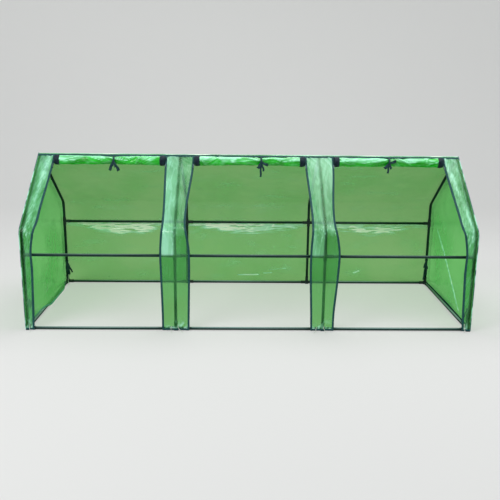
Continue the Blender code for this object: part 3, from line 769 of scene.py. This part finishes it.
# Real haze with painted sky reflection: how pale each strip's left and right halves are on the slope, the
# knee and low down; the slopes and the halves that face the lamp are painted paler.
haze_and_sky_sheen = {
    "left_end_strip": [(0.56, 0.46, 0.36), (0.60, 0.46, 0.36)],
    "column_1": [(0.80, 1.00, 0.15), (0.45, 0.24, 0.15)],
    "column_2": [(0.58, 0.66, 0.15), (0.66, 0.27, 0.14)],
    "right_end_strip": [(0.58, 0.50, 0.30), (0.52, 0.50, 0.30)],
}
haze_sheen_side, haze_sheen_knee, haze_sheen_rail = 0.012, 0.05, 0.010
pressed_on_tube = {"left_end_strip": 1.0, "column_1": 0.65, "column_2": 0.65, "right_end_strip": 1.0}
tube_print, slope_shine = 0.0085, 0.15
fold_ridges = {"left_end_strip": (0.85, 0.40), "right_end_strip": (1.00, 0.12)}
ridge_width, trough_width, trough_beside = 0.17, 0.24, 0.38
ridge_highlight, trough_shade, ridge_below_knee = 0.60, 0.20, 0.03
hem_glint, knee_glint, least_haze_sheen = 2.2, 4.0, 0.2
glinting_within = {"left_end_strip": 0.08, "column_1": 0.014, "column_2": 0.08, "right_end_strip": 0.08}


def eased_width(reach, widths):
    """A strip's width at a distance up it, easing between the hem, the rail, the neck and the top."""
    stations = (hem_height, rail_height, knee_reach + neck_above_knee, strip_top)
    for low, high, start, end in zip(stations, stations[1:], widths, widths[1:]):
        if reach <= high:
            share = max(0.0, (reach - low) / (high - low))
            return start + (end - start) * (0.5 - 0.5 * math.cos(math.pi * share))
    return widths[-1]


def strip_edge(strip, side, reach):
    """The x of a strip's left or right edge; the outer edges of the end strips lie on the corners."""
    widths = strip["left" if side < 0 else "right"]
    if widths is None:
        return side * film_half_length
    return strip["portal"] + side * eased_width(reach, widths)


def strip_haze_and_sheen(strip, aside, reach):
    """How pale a strip is left or right of its tube: on the slope, above the rail and below it. It is
    partly milky haze and partly painted sky reflection, strongest on the slopes and on the halves that face
    the lamp.
    """
    left, right = haze_and_sky_sheen[strip["name"]]
    side = as_share(0.5 + aside / haze_sheen_side)
    slope_haze_sheen, knee_haze_sheen, low_haze_sheen = (a + (b - a) * side for a, b in zip(left, right))
    bent = as_share((reach - knee_reach + haze_sheen_knee) / haze_sheen_knee)
    risen = as_share((reach - rail_height) / haze_sheen_rail)
    haze_sheen = low_haze_sheen + (knee_haze_sheen - low_haze_sheen) * risen + (slope_haze_sheen - knee_haze_sheen) * bent
    pressed = pressed_on_tube[strip["name"]] * (1 - slope_shine * bent)
    return haze_sheen * (1 - pressed * near(aside, tube_print))


def fold_ridge(strip, off_tube, reach):
    """The long fold that slants down the slope of an end strip: a painted highlight on its ridge and
    painted shade beside it.
    """
    if strip["name"] not in fold_ridges or reach < knee_reach - ridge_below_knee:
        return 0.0
    low, high = fold_ridges[strip["name"]]
    from_ridge = 1 - off_tube - low - (high - low) * (reach - knee_reach) / (strip_top - knee_reach)
    troughs = sum(near(from_ridge + side * trough_beside, trough_width) for side in (-1, 1))
    return ridge_highlight * near(from_ridge, ridge_width) - trough_shade * troughs


def strip_point(strip, x, reach, lift=0.0):
    """A point of a strip's film, and how pale it is there."""
    axis, out = front_place(reach)
    aside = x - strip["portal"]
    widths = strip["right" if aside > 0 else "left"]
    width = eased_width(reach, widths) if widths else film_half_length - abs(strip["portal"])
    off_tube = max(0.0, abs(aside) - tube_seat) / max(width - tube_seat, least_beside_tube)
    free = slack(reach, front_supports, front_ease)
    seed = strip["portal"] * 3
    near_knee = near(reach - knee_reach + knee_gather, knee_spread)
    near_hem = near(reach, right_hem_spread if aside > 0 else left_hem_spread)
    gathered = max(near_knee, near(reach - strip_top, top_spread), near_hem)
    long_folds = waver(x * 46 + reach * 5, reach * 4.5, seed)
    cross_folds = crest(aside * 20, reach * 26 + aside * 30, seed + 5)
    long_relief = fold_depth * long_folds * max(free, least_slack)
    folds = off_tube * (long_relief + cross_fold_depth * cross_folds * (0.35 + gathered))
    hem_crumple = crumple_depth * near_hem * abs(waver(x * 70, reach * 60, seed + 8))
    away = film_off_axis + lift - edge_pull * off_tube ** pull_curve * free + folds + hem_crumple
    point = axis + out * away
    haze_sheen = strip_haze_and_sheen(strip, aside, reach)
    # Random tone, plus a painted highlight on the crests of the gathered cross folds.
    pale = haze_sheen * (1 + 0.25 * waver(x * 22, reach * 7, 3) + 0.25 * gathered * max(0.0, cross_folds))
    if abs(aside) > tube_seat and (aside > 0) == (strip["portal"] < 0):
        pale *= 1 + fold_ridge(strip, off_tube, reach)
    # Painted glints: white specks on the crumpled hem and on the creases near the knee.
    pale += hem_glint * near_hem * max(0.0, waver(x * 60, reach * 45, 3) + 0.3)
    glint = max(0.0, waver(x * 140, reach * 45, seed + 2) - 0.25)
    glint *= near(aside, glinting_within[strip["name"]])
    pale += knee_glint * near_knee * max(haze_sheen, least_haze_sheen) * glint
    return Vector((x, point.x, point.y)), min(strip_palest, pale)


def strip_share(strip, across, along):
    """The x and reach at a share of a strip's width and height."""
    reach = hem_height + strip_length * along
    left, right = strip_edge(strip, -1, reach), strip_edge(strip, 1, reach)
    return left + (right - left) * across, reach


for strip in strips:
    between_doors = strip["name"].startswith("column")
    strip["widths"] = [widths for widths in (strip["left"], strip["right"]) if widths]
    sheet = mapped_sheet(
        column_lanes if between_doors else end_lanes,
        strip_rows,
        (sum(max(widths) for widths in strip["widths"]), strip_length),
        lambda across, along: strip_point(strip, *strip_share(strip, across, along)),
    )
    node = strip["name"].replace("column", "column_film") if between_doors else f"{strip['name']}_film"
    film = column_film if between_doors else strip_film
    strip["piece"] = add_piece(f"{strip['name']}_cover", sheet, film, "frame", [node])

# Zip edges and hems. Dark teal woven tape is sewn round every edge of the film, and along the doors it
# carries one half of a nylon coil zip.
tape_width, tape_thickness, tape_overhang = 0.0100, 0.0016, 0.0015
seam_width, seam_before, seam_lift = 0.0105, 0.20, 0.0006
hem_below, hem_lift, gable_hem_low = 0.1, 0.0004, 0.0030
coil_pitch, coil_tooth = 0.0026, (0.0024, 0.0014, 0.0013)
tape_lanes, zip_rows, strip_hem_points, seam_points, gable_hem_points = 4, 220, 36, 480, 160
teal, highlight_teal, worn_teal = (0.008, 0.062, 0.066, 1), (0.130, 0.430, 0.370, 1), (0.06, 0.22, 0.22, 1)
coil_dark, coil_light = (0.006, 0.030, 0.026, 1), (0.020, 0.070, 0.060, 1)

weave, given, out = new_group(
    "weave",
    [("Threads", "NodeSocketFloat", 900.0), ("Colour", "NodeSocketColor", (0.1, 0.1, 0.1, 1))],
    [("Colour", "NodeSocketColor"), ("Height", "NodeSocketFloat")],
)
tree = weave
cloth_place = new_node(tree, "ShaderNodeUVMap", uv_map="cloth").outputs[0]
threading = {"Vector": cloth_place, "Scale": given["Threads"], "Distortion": 0.6, "Detail": 1.0}
warp = new_node(tree, "ShaderNodeTexWave", threading, bands_direction="X").outputs["Fac"]
weft = new_node(tree, "ShaderNodeTexWave", threading, bands_direction="Y").outputs["Fac"]
crossed = reckoned(tree, "MAXIMUM", warp, weft)
worn = stepped(tree, clouded(tree, cloth_place, 60.0, 4.0), 0.35, 0.75, 0.0, 0.14)
# Painted shade: the gaps between the threads are painted darker.
thread_gap_shade = mixed(tree, 0.45, given["Colour"], (0, 0, 0, 1))
lighter = mixed(tree, worn, given["Colour"], worn_teal)
tree.links.new(mixed(tree, crossed, thread_gap_shade, lighter), out["Colour"])
tree.links.new(crossed, out["Height"])


def new_webbing(name, colour, threads, roughness):
    """Woven tape with visible threads."""
    material, tree, shader = new_material(name, {"Roughness": roughness, "Specular IOR Level": 0.18})
    cloth = placed(tree, weave, {"Threads": threads, "Colour": colour})
    tree.links.new(cloth["Colour"], shader.inputs["Base Color"])
    raise_surface(tree, shader, cloth["Height"], 0.4, 0.0003)
    return material


binding = new_webbing("binding_tape", teal, 260.0, 0.62)
# Painted highlight: the thin hem tape of the left gable is painted pale teal as the light along its folded
# edge.
highlighted_hem_binding = new_webbing("highlighted_hem_tape", highlight_teal, 260.0, 0.62)
coil_nylon, tree, shader = new_material("zip_coil", {"Roughness": 0.35})
wear = clouded(tree, object_place(tree), 160.0, 2.0)
tree.links.new(mixed(tree, wear, coil_dark, coil_light), shader.inputs["Base Color"])


def add_tape(name, lanes, rows, size, place, material=binding):
    """A length of binding tape folded round an edge of the film."""
    piece = add_piece(name, mapped_sheet(lanes, rows, size, place), material, "frame")
    add_thickness(piece, tape_thickness, 0.0)
    return piece


def zip_line(strip, side, reach, inside):
    """The x of a line that runs beside a zip edge, a distance inside it."""
    return strip_edge(strip, side, reach) - side * inside


for strip in strips:
    for side, where in ((-1, "left"), (1, "right")):
        if strip[where] is None:
            continue

        def tape_place(across, along, strip=strip, side=side):
            reach = hem_height + strip_length * along
            inside = (1 - across if side > 0 else across) * tape_width - tape_overhang
            return strip_point(strip, zip_line(strip, side, reach, inside), reach)

        zip_name, zip_size = f"{strip['name']}_{where}_zip", (tape_width, strip_length)
        add_tape(f"{zip_name}_tape", tape_lanes, zip_rows, zip_size, tape_place)
        coil = bmesh.new()
        for i in range(int(strip_length / coil_pitch)):
            reach = hem_height + coil_pitch * (i + 0.5)
            x = zip_line(strip, side, reach, -tape_overhang - coil_tooth[0] / 3)
            point, _ = strip_point(strip, x, reach)
            ahead, _ = strip_point(strip, point.x, reach + coil_pitch)
            turn = (ahead - point).to_track_quat("Z", "X").to_matrix().to_4x4()
            tooth = Matrix.Translation(point) @ turn @ Matrix.Diagonal((*coil_tooth, 1.0))
            bmesh.ops.create_cube(coil, size=1.0, matrix=tooth)
        add_piece(f"{zip_name}_coil", coil, coil_nylon, "frame")

    def hem_place(across, along, strip=strip):
        x, _ = strip_share(strip, across, 0.0)
        return strip_point(strip, x, hem_height + tape_width * (along - hem_below), hem_lift)

    hem_size = (strip_edge(strip, 1, hem_height) - strip_edge(strip, -1, hem_height), tape_width)
    add_tape(f"{strip['name']}_hem", strip_hem_points, tape_lanes, hem_size, hem_place)

header = add_tape(
    "header_seam_tape",
    seam_points,
    tape_lanes,
    (2 * film_half_length, seam_width),
    lambda across, along: roof_share(across, seam_width * (along - seam_before), seam_lift),
)
rear_hem = add_tape(
    "rear_hem",
    seam_points,
    tape_lanes,
    (2 * film_half_length, tape_width),
    lambda across, along: roof_share(across, roof_run - tape_width * (1 - hem_below - along)),
)
# The left gable's hem tape carries the painted highlight; the right one is plain binding.
for side, name, width, material in ((-1, "left", 0.0045, highlighted_hem_binding), (1, "right", 0.0100, binding)):
    add_tape(
        f"{name}_gable_hem",
        gable_hem_points,
        tape_lanes,
        (2 * gable_half, width),
        lambda across, along: gable_point(side, across, (gable_hem_low + width * along) / knee_height),
        material,
    )

# Corner welts. Where the gables are sewn to the roof and the strips, the seam is bound in a thin dark teal
# welt that puckers and catches the light along the corner.
welt_radius, welt_points = 0.0021, 260
welt_dark, welt_shine = (0.010, 0.085, 0.090, 1), (0.40, 0.80, 0.64, 1)
welt_film, tree, shader = new_material("welt_film", {"Roughness": 0.28})
puckers = clouded(tree, object_place(tree), 11.0, 4.0)
# Painted highlight: the puckers are painted pale where they catch the light.
welt_colour = mixed(tree, stepped(tree, puckers, 0.46, 0.58), welt_dark, welt_shine)
tree.links.new(welt_colour, shader.inputs["Base Color"])
raise_surface(tree, shader, puckers, 0.5, 0.001)


def add_line(name, points, radius, material, body):
    """A round line along a smooth row of points."""
    curve = bpy.data.curves.new(name, "CURVE")
    curve.dimensions = "3D"
    curve.bevel_depth = radius
    curve.bevel_resolution = 3
    curve.use_fill_caps = True
    spline = curve.splines.new("POLY")
    spline.points.add(len(points) - 1)
    for target, point in zip(spline.points, points):
        target.co = (*point, 1.0)
    spline.use_smooth = True
    curve.materials.append(material)
    piece = bpy.data.objects.new(name, curve)
    bpy.context.scene.collection.objects.link(piece)
    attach(piece, body)
    return piece


for side, name, strip in ((-1, "left", strips[0]), (1, "right", strips[-1])):
    corner_x = side * film_half_length
    rear, front = [], []
    for i in range(welt_points + 1):
        rear.append(roof_point(corner_x, roof_run * i / welt_points)[0])
        front.append(strip_point(strip, corner_x, hem_height + strip_length * i / welt_points)[0])
    add_line(f"{name}_rear_welt", rear, welt_radius, welt_film, "frame")
    add_line(f"{name}_front_welt", front, welt_radius, welt_film, "frame")

# Doors. Each door is a sheet of the film, rolled inwards from its hem until it hangs as a crinkled roll
# below the header seam, pale where its top catches the sky. A short flat apron joins it to the seam. The
# door's zip tapes are rolled up in a dark bundle at each end.
roll_radius, roll_core = 0.0225, 0.0070
roll_turns, roll_lanes, points_per_turn = 10, 150, 32
seam_to_roll, roll_proud, roll_seam_gap = 0.0055, 0.004, 0.0008
roll_swell, fold_height, fold_slant = 0.10, 0.0030, 3.2
end_flare, flare_reach = 0.13, 0.075
knot_pinch, knot_reach, tie_squeeze, squeeze_reach = 0.14, 0.018, 0.10, 0.10
bundle_width, bundle_radius, bundle_core, bundle_round = 0.033, 0.0290, 0.008, 0.17
bundle_turns, bundle_lanes, bundle_turn_points, bundle_tape, film_inset = 8, 8, 26, 0.0015, 0.85
apron_lanes, apron_rows = 60, 16
# Painted highlight and sky reflection: the roll's pleat crests and its top are painted pale.
sky_low, sky_sharp, sky_waver, sky_pale = 0.34, 2.6, 1.1, 0.42
pleat_highlight, highlight_from, shaded = 3.0, 0.48, 0.12
roll_dark, roll_light = (0.001, 0.28, 0.002, 1), (0.003, 0.48, 0.006, 1)
roll_highlight, zip_black = (0.36, 0.92, 0.56, 1), (0.002, 0.007, 0.018, 1)
roll_centre = ridge - slope * (header_drop + seam_to_roll + roll_radius) + slope_out * roll_proud
roll_seam = ridge - slope * (header_drop + roll_seam_gap) + slope_out * film_off_axis - roll_centre
leave_angle = math.atan2(roll_seam.y, roll_seam.x) - math.acos(roll_radius / roll_seam.length)
rolled_length = math.tau * roll_turns * (roll_radius + roll_core) / 2
bundle_length = math.tau * bundle_turns * (bundle_radius + bundle_core) / 2
doors = []
for number, body in enumerate(("left_door", "middle_door", "right_door"), start=1):
    low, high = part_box(f"door_roll_{number}")
    tie = middle(f"door_tie_{number}").x
    doors.append({"body": body, "seed": number * 7.0, "left": low.x, "right": high.x, "tie": tie})

roll_film, tree, shader = new_material("rolled_film", {"Roughness": 0.24, "Specular IOR Level": 0.45})
folds = placed(tree, film_creases, {"Scale": 20.0, "Stretch": (0.40, 1.0, 1.0)})
# The attribute pale paints the pleat highlights and the sky reflection on the top into the colour.
pale = new_node(tree, "ShaderNodeAttribute", attribute_name="pale").outputs["Fac"]
deep = mixed(tree, folds["Streak"], roll_dark, roll_light)
tree.links.new(mixed(tree, pale, deep, roll_highlight), shader.inputs["Base Color"])
raise_surface(tree, shader, folds["Height"], 0.5, fold_rise)
door_tape = new_webbing("door_zip_tape", zip_black, 260.0, 0.55)


def roll_place(angle, radius):
    """A point about the roll's middle, in (y, z)."""
    return roll_centre + Vector((math.cos(angle), math.sin(angle))) * radius


def rolled(door, x, share, outer, core, turns):
    """A point of a rolled door and how pale it is, share 0 at the seam side and 1 at the core. The pale is
    a painted highlight on the pleat crests and a painted sky reflection on the top of the roll.
    """
    angle = leave_angle - math.tau * turns * share
    radius = outer + (core - outer) * share
    seed = door["seed"]
    twisted = angle + fold_slant * waver(x * 8, 0.3, seed)
    broad = waver(x * 9, 0.9 * math.cos(angle), 0.9 * math.sin(angle) + seed)
    pleat = crest(x * 10, 1.8 * math.cos(twisted), 1.8 * math.sin(twisted) + seed)
    from_tie = x - door["tie"]
    pinch = 1 - knot_pinch * near(from_tie, knot_reach) - tie_squeeze * near(from_tie, squeeze_reach)
    swell = 1 + roll_swell * (0.5 + broad)
    if core < bundle_core:
        from_end = min(x - door["left"], door["right"] - x)
        swell += end_flare * math.exp(-from_end / flare_reach)
    point = roll_place(angle, radius * pinch * swell + fold_height * pleat * radius / outer)
    waved = sky_waver * waver(x * 11, 0.8 * math.sin(twisted) + seed, 3.7)
    to_sky = as_share(0.5 + sky_sharp * (math.sin(angle) - sky_low - waved))
    pale = pleat_highlight * max(0.0, pleat - highlight_from) * (shaded + (1 - shaded) * to_sky)
    pale += sky_pale * to_sky * max(0.0, 0.5 + 2 * broad)
    return Vector((x, point.x, point.y)), as_share(pale)


for number, door in enumerate(doors, start=1):
    left, right, body = door["left"], door["right"], door["body"]
    film_left, film_right = left + bundle_width * film_inset, right - bundle_width * film_inset

    def roll_point(across, along, door=door, left=film_left, right=film_right):
        return rolled(door, left + (right - left) * across, along, roll_radius, roll_core, roll_turns)

    node = f"door_roll_{number}"
    rows = roll_turns * points_per_turn
    sheet = mapped_sheet(roll_lanes, rows, (film_right - film_left, rolled_length), roll_point)
    roll = add_piece(f"{node}_film", sheet, roll_film, body, [node])
    for side, start in (("left", left), ("right", right - bundle_width)):
        def bundle_point(across, along, door=door, start=start):
            outer = bundle_radius / (1 + roll_swell) * (1 - bundle_round * abs(2 * across - 1) ** 3)
            return rolled(door, start + bundle_width * across, along, outer, bundle_core, bundle_turns)

        rows = bundle_turns * bundle_turn_points
        sheet = mapped_sheet(bundle_lanes, rows, (bundle_width, bundle_length), bundle_point)
        bundle = add_piece(f"door_{number}_{side}_zip_bundle", sheet, door_tape, body)
        add_thickness(bundle, bundle_tape, 0.0)
    seam = roll_centre + roll_seam
    leaving = roll_place(leave_angle, roll_radius)
    for name, material, start, end, lanes in (
        ("apron", cover_film, left, right, apron_lanes),
        ("apron_left_tape", door_tape, left, left + tape_width, tape_lanes),
        ("apron_right_tape", door_tape, right - tape_width, right, tape_lanes),
    ):
        def apron_place(across, along, start=start, end=end):
            point = seam.lerp(leaving, along)
            return Vector((start + (end - start) * across, point.x, point.y)), 0.0

        sheet = mapped_sheet(lanes, apron_rows, (end - start, (seam - leaving).length), apron_place)
        bmesh.ops.reverse_faces(sheet, faces=sheet.faces)
        apron = add_piece(f"door_{number}_{name}", sheet, material, None)
        if "tape" in name:
            add_thickness(apron, tape_thickness, 0.0)
        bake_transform(apron)

# Ribbon ties. A dark ribbon goes round each roll and is tied in front in a loose bow, whose loops and tails
# hang down over the roll. Narrower ones inside the cover tie it to the feet of the four corner posts.
ribbon_width, ribbon_thickness, ribbon_lanes = 0.013, 0.0009, 4
strap_share, strap_tightness, strap_clear = 0.75, 0.92, 0.0018
strap_gap, strap_steps, post_strap_steps = math.radians(12), 40, 28
knot_angle, knot_proud = math.radians(180), 0.005
door_knot, post_knot = (0.012, 0.010, 0.013), (0.010, 0.008, 0.011)
knot_cuts, knot_lumps, knot_round = 5, 0.25, 0.45
loop_steps, tail_steps = 32, 18
loop_opening, loop_lift, loop_narrow, loop_widening = 0.0045, 0.0040, 0.60, 0.75
tail_lift, tail_curl, tail_narrow, tail_widening = 0.0045, 0.6, 0.50, 0.35
ribbon_sway, ribbon_lean = 0.0025, 0.40
ribbon = new_webbing("ribbon", (0.006, 0.034, 0.040, 1), 420.0, 0.50)


def add_ribbon(name, body, path, across, widths):
    """A ribbon along a path, with its width across it."""
    rows = len(path) - 1

    def place(side, along):
        row = round(along * rows)
        return path[row] + across[row] * (side - 0.5) * widths[row], 0.0

    length = sum((after - before).length for before, after in zip(path, path[1:]))
    sheet = mapped_sheet(ribbon_lanes, rows, (ribbon_width, length), place)
    add_thickness(add_piece(name, sheet, ribbon, body), ribbon_thickness, 0.0)


def add_knot(name, body, centre, size, replaced=()):
    """A tied knot: a rounded lump of ribbon."""
    shape = bmesh.new()
    cloth = shape.loops.layers.uv.new("cloth")
    bmesh.ops.create_cube(shape, size=1.0, matrix=Matrix.Diagonal((*size, 1.0)))
    bmesh.ops.subdivide_edges(shape, edges=shape.edges, cuts=knot_cuts, use_grid_fill=True)
    for vert in shape.verts:
        lumpy = 1 + knot_lumps * noise.noise(vert.co * 260 + centre * 9)
        vert.co = vert.co.lerp(vert.co.normalized() * max(size) * 0.52, knot_round) * lumpy + centre
    for face in shape.faces:
        for loop in face.loops:
            loop[cloth].uv = (loop.vert.co.x, loop.vert.co.z)
    knot = add_piece(name, shape, ribbon, body, replaced)
    soft = knot.modifiers.new("soft", "SUBSURF")
    soft.levels = soft.render_levels = 1


def add_bow(name, body, centre, outward, bow, width):
    """The loops and tails of a bow, which end so far along X and up from its knot, and lie flat on what
    is behind them."""
    for kind, steps in (("loop", loop_steps), ("tail", tail_steps)):
        for number, (aside, upward) in enumerate(bow[f"{kind}s"], start=1):
            end = Vector((aside, 0, upward))
            broad = outward.cross(end).normalized()
            path, across, widths = [], [], []
            for step in range(steps + 1):
                share = step / steps
                if kind == "loop":
                    reach = 0.5 - 0.5 * math.cos(math.tau * share)
                    opened = loop_opening * math.sin(math.tau * share) * math.sqrt(reach)
                    stand_off = loop_lift * reach + opened
                    widths.append(width * (loop_narrow + loop_widening * reach ** 0.8))
                else:
                    reach = share
                    stand_off = tail_lift * math.sin(math.pi * tail_curl * share)
                    widths.append(width * (tail_narrow + tail_widening * min(1.0, reach * 3)))
                sway = ribbon_sway * math.sin(2.6 * math.pi * reach + number)
                lean = ribbon_lean * math.sin(2.0 * math.pi * reach + 2 * number)
                path.append(centre + end * reach + outward * stand_off + broad * sway * reach)
                across.append((broad * math.cos(lean) + outward * math.sin(lean)).normalized())
            add_ribbon(f"{name}_{kind}_{number}", body, path, across, widths)


door_bows = [
    {"loops": [(-0.023, -0.053), (0.029, -0.055)], "tails": [(-0.007, -0.030), (0.011, -0.036)]},
    {"loops": [(0.037, -0.020), (-0.019, -0.036)], "tails": [(-0.005, -0.084), (0.014, -0.052)]},
    {"loops": [(0.036, 0.010), (-0.029, -0.031)], "tails": [(-0.011, -0.058), (0.007, -0.035)]},
]
for number, (door, bow) in enumerate(zip(doors, door_bows), start=1):
    name, body, x = f"door_tie_{number}", door["body"], door["tie"]
    strap_radius = roll_radius * strap_tightness + strap_clear
    strap = []
    for i in range(strap_steps + 1):
        turn = leave_angle + strap_gap + (math.tau - 2 * strap_gap) * i / strap_steps
        point = roll_place(turn, strap_radius)
        strap.append(Vector((x, point.x, point.y)))
    gathered = [ribbon_width * strap_share] * len(strap)
    add_ribbon(f"{name}_strap", body, strap, [along] * len(strap), gathered)
    knot_at = roll_place(knot_angle, strap_radius + knot_proud)
    knot_centre = Vector((x, knot_at.x, knot_at.y))
    add_knot(f"{name}_knot", body, knot_centre, door_knot, [name])
    outward = Vector((0, math.cos(knot_angle), math.sin(knot_angle)))
    add_bow(name, body, knot_centre, outward, bow, ribbon_width)

beside_rear, beside_front = Vector((0.35, -0.94, 0)), Vector((0.97, 0.24, 0))
post_bows = {
    "rear_left": {"loops": [(-0.004, -0.070), (0.010, -0.088)], "tails": [(0.031, -0.072)]},
    "rear_right": {"loops": [(-0.012, -0.048), (0.006, -0.060)], "tails": [(-0.014, -0.13), (0.005, -0.1)]},
    "front_left": {"loops": [(0.014, -0.030), (-0.008, -0.042)], "tails": [(0.010, -0.052)]},
    "front_right": {"loops": [(-0.022, -0.078), (0.006, -0.088)], "tails": [(-0.014, -0.042)]},
}
post_heights = {"rear_left": 0.145, "rear_right": 0.165, "front_left": 0.165, "front_right": 0.125}
post_widths = {"rear_left": 0.014, "rear_right": 0.011, "front_left": 0.010, "front_right": 0.005}
for name, bow in post_bows.items():
    x = portal_x[0] if "left" in name else portal_x[-1]
    facing_y = 1 if "rear" in name else -1
    width = post_widths[name]
    post = Vector((x, facing_y * half_depth, post_heights[name]))
    beside = (beside_rear if facing_y > 0 else beside_front).copy()
    beside.x = math.copysign(beside.x, -x)
    outward = Vector((0, -facing_y, 0))
    strap = []
    for i in range(post_strap_steps + 1):
        turn = math.atan2(beside.y, beside.x) + math.tau * i / post_strap_steps
        strap.append(post + Vector((math.cos(turn), math.sin(turn), 0)) * (tube_radius + ribbon_thickness))
    add_ribbon(f"{name}_post_tie_strap", "frame", strap, [up] * len(strap), [width] * len(strap))
    knot_centre = post + beside * (tube_radius + knot_proud)
    add_knot(f"{name}_post_tie_knot", "frame", knot_centre, post_knot)
    add_bow(f"{name}_post_tie", "frame", knot_centre, outward, bow, width)

# Foot cords. Thin white braided cords for the ground pegs are sewn to the feet of the cover, and their ends
# hang over the hem and lie on the ground.
cord_radius, cord_points, cord_sway = 0.0012, 22, 0.002
braid_dark, braid_light = (0.42, 0.46, 0.40, 1), (0.80, 0.84, 0.78, 1)
white_braid, tree, shader = new_material("white_braid", {"Roughness": 0.75, "Sheen Weight": 0.2})
braiding = {"Vector": object_place(tree), "Scale": 160.0, "Distortion": 3.0}
strands = new_node(tree, "ShaderNodeTexWave", braiding).outputs["Fac"]
tree.links.new(mixed(tree, strands, braid_dark, braid_light), shader.inputs["Base Color"])
raise_surface(tree, shader, strands, 0.6, 0.0005)
cord_front = -half_depth - film_off_axis - cord_radius
foot_cords = {
    "left_corner_cord": ((-1.177, cord_front, 0.036), (-1.168, cord_front - 0.031, cord_radius)),
    "column_1_left_cord": ((-0.420, cord_front, 0.026), (-0.417, cord_front - 0.032, cord_radius)),
    "column_1_right_cord": ((-0.384, cord_front, 0.034), (-0.355, cord_front - 0.030, cord_radius)),
    "column_2_left_cord": ((0.363, cord_front, 0.024), (0.346, cord_front - 0.033, cord_radius)),
    "column_2_right_cord": ((0.403, cord_front, 0.028), (0.410, cord_front - 0.032, cord_radius)),
    "right_corner_cord": ((1.166, cord_front, 0.044), (1.163, cord_front - 0.020, cord_radius)),
    "rear_left_cord": ((-1.180, half_depth - 0.022, 0.060), (-1.168, half_depth - 0.070, cord_radius)),
}
for name, (start, end) in foot_cords.items():
    start, end = Vector(start), Vector(end)
    points = []
    for i in range(cord_points + 1):
        share = i / cord_points
        point = start.lerp(end, share ** 1.5)
        point.z = end.z + (start.z - end.z) * (1 - share ** 0.8) ** 1.6
        point.x += cord_sway * math.sin(7 * share + start.x * 9)
        points.append(point)
    cord = add_line(name, points, cord_radius, white_braid, "frame")

# Zip sliders. Each zip has a small slider of cast metal with a dark coat, which clasps the coil and carries
# a pull tab. It is parked at the top beside the roll.
slider_size, slider_rounding = Vector((0.0085, 0.0105, 0.0050)), 0.0004
tab_size, tab_top, bridge_size = Vector((0.0055, 0.0220, 0.0014)), 0.004, Vector((0.002, 0.006, 0.002))
slider_below_seam = 0.062
paint_dark, paint_worn = (0.008, 0.040, 0.044, 1), (0.11, 0.20, 0.20, 1)
slider_paint, tree, shader = new_material("slider_paint", {"Roughness": 0.30, "Metallic": 0.35})
scuffs = stepped(tree, clouded(tree, object_place(tree), 420.0, 3.0), 0.5, 0.75)
tree.links.new(mixed(tree, scuffs, paint_dark, paint_worn), shader.inputs["Base Color"])
for number, door in enumerate(doors):
    for strip, side in ((strips[number], 1), (strips[number + 1], -1)):
        reach = strip_top - slider_below_seam
        x = strip_edge(strip, side, reach)
        seat, _ = strip_point(strip, x, reach)
        _, out = front_place(reach)
        facing = seated(seat, Vector((0, out.x, out.y)))
        shape = bmesh.new()
        bmesh.ops.create_cube(shape, size=1.0, matrix=facing @ Matrix.Diagonal((*slider_size, 1.0)))
        lift = slider_size.z / 2 + tab_size.z / 2
        for below, size in ((tab_top + tab_size.y / 2, tab_size), (tab_top / 2, bridge_size)):
            part_place = facing @ Matrix.Translation((0, -below, lift)) @ Matrix.Diagonal((*size, 1.0))
            bmesh.ops.create_cube(shape, size=1.0, matrix=part_place)
        bmesh.ops.bevel(
            shape,
            geom=shape.edges,
            offset=slider_rounding,
            offset_type="OFFSET",
            segments=2,
            profile=0.5,
            affect="EDGES",
            material=-1,
        )
        where = "right" if side < 0 else "left"
        add_piece(f"door_{number + 1}_{where}_zip_slider", shape, slider_paint, door["body"])
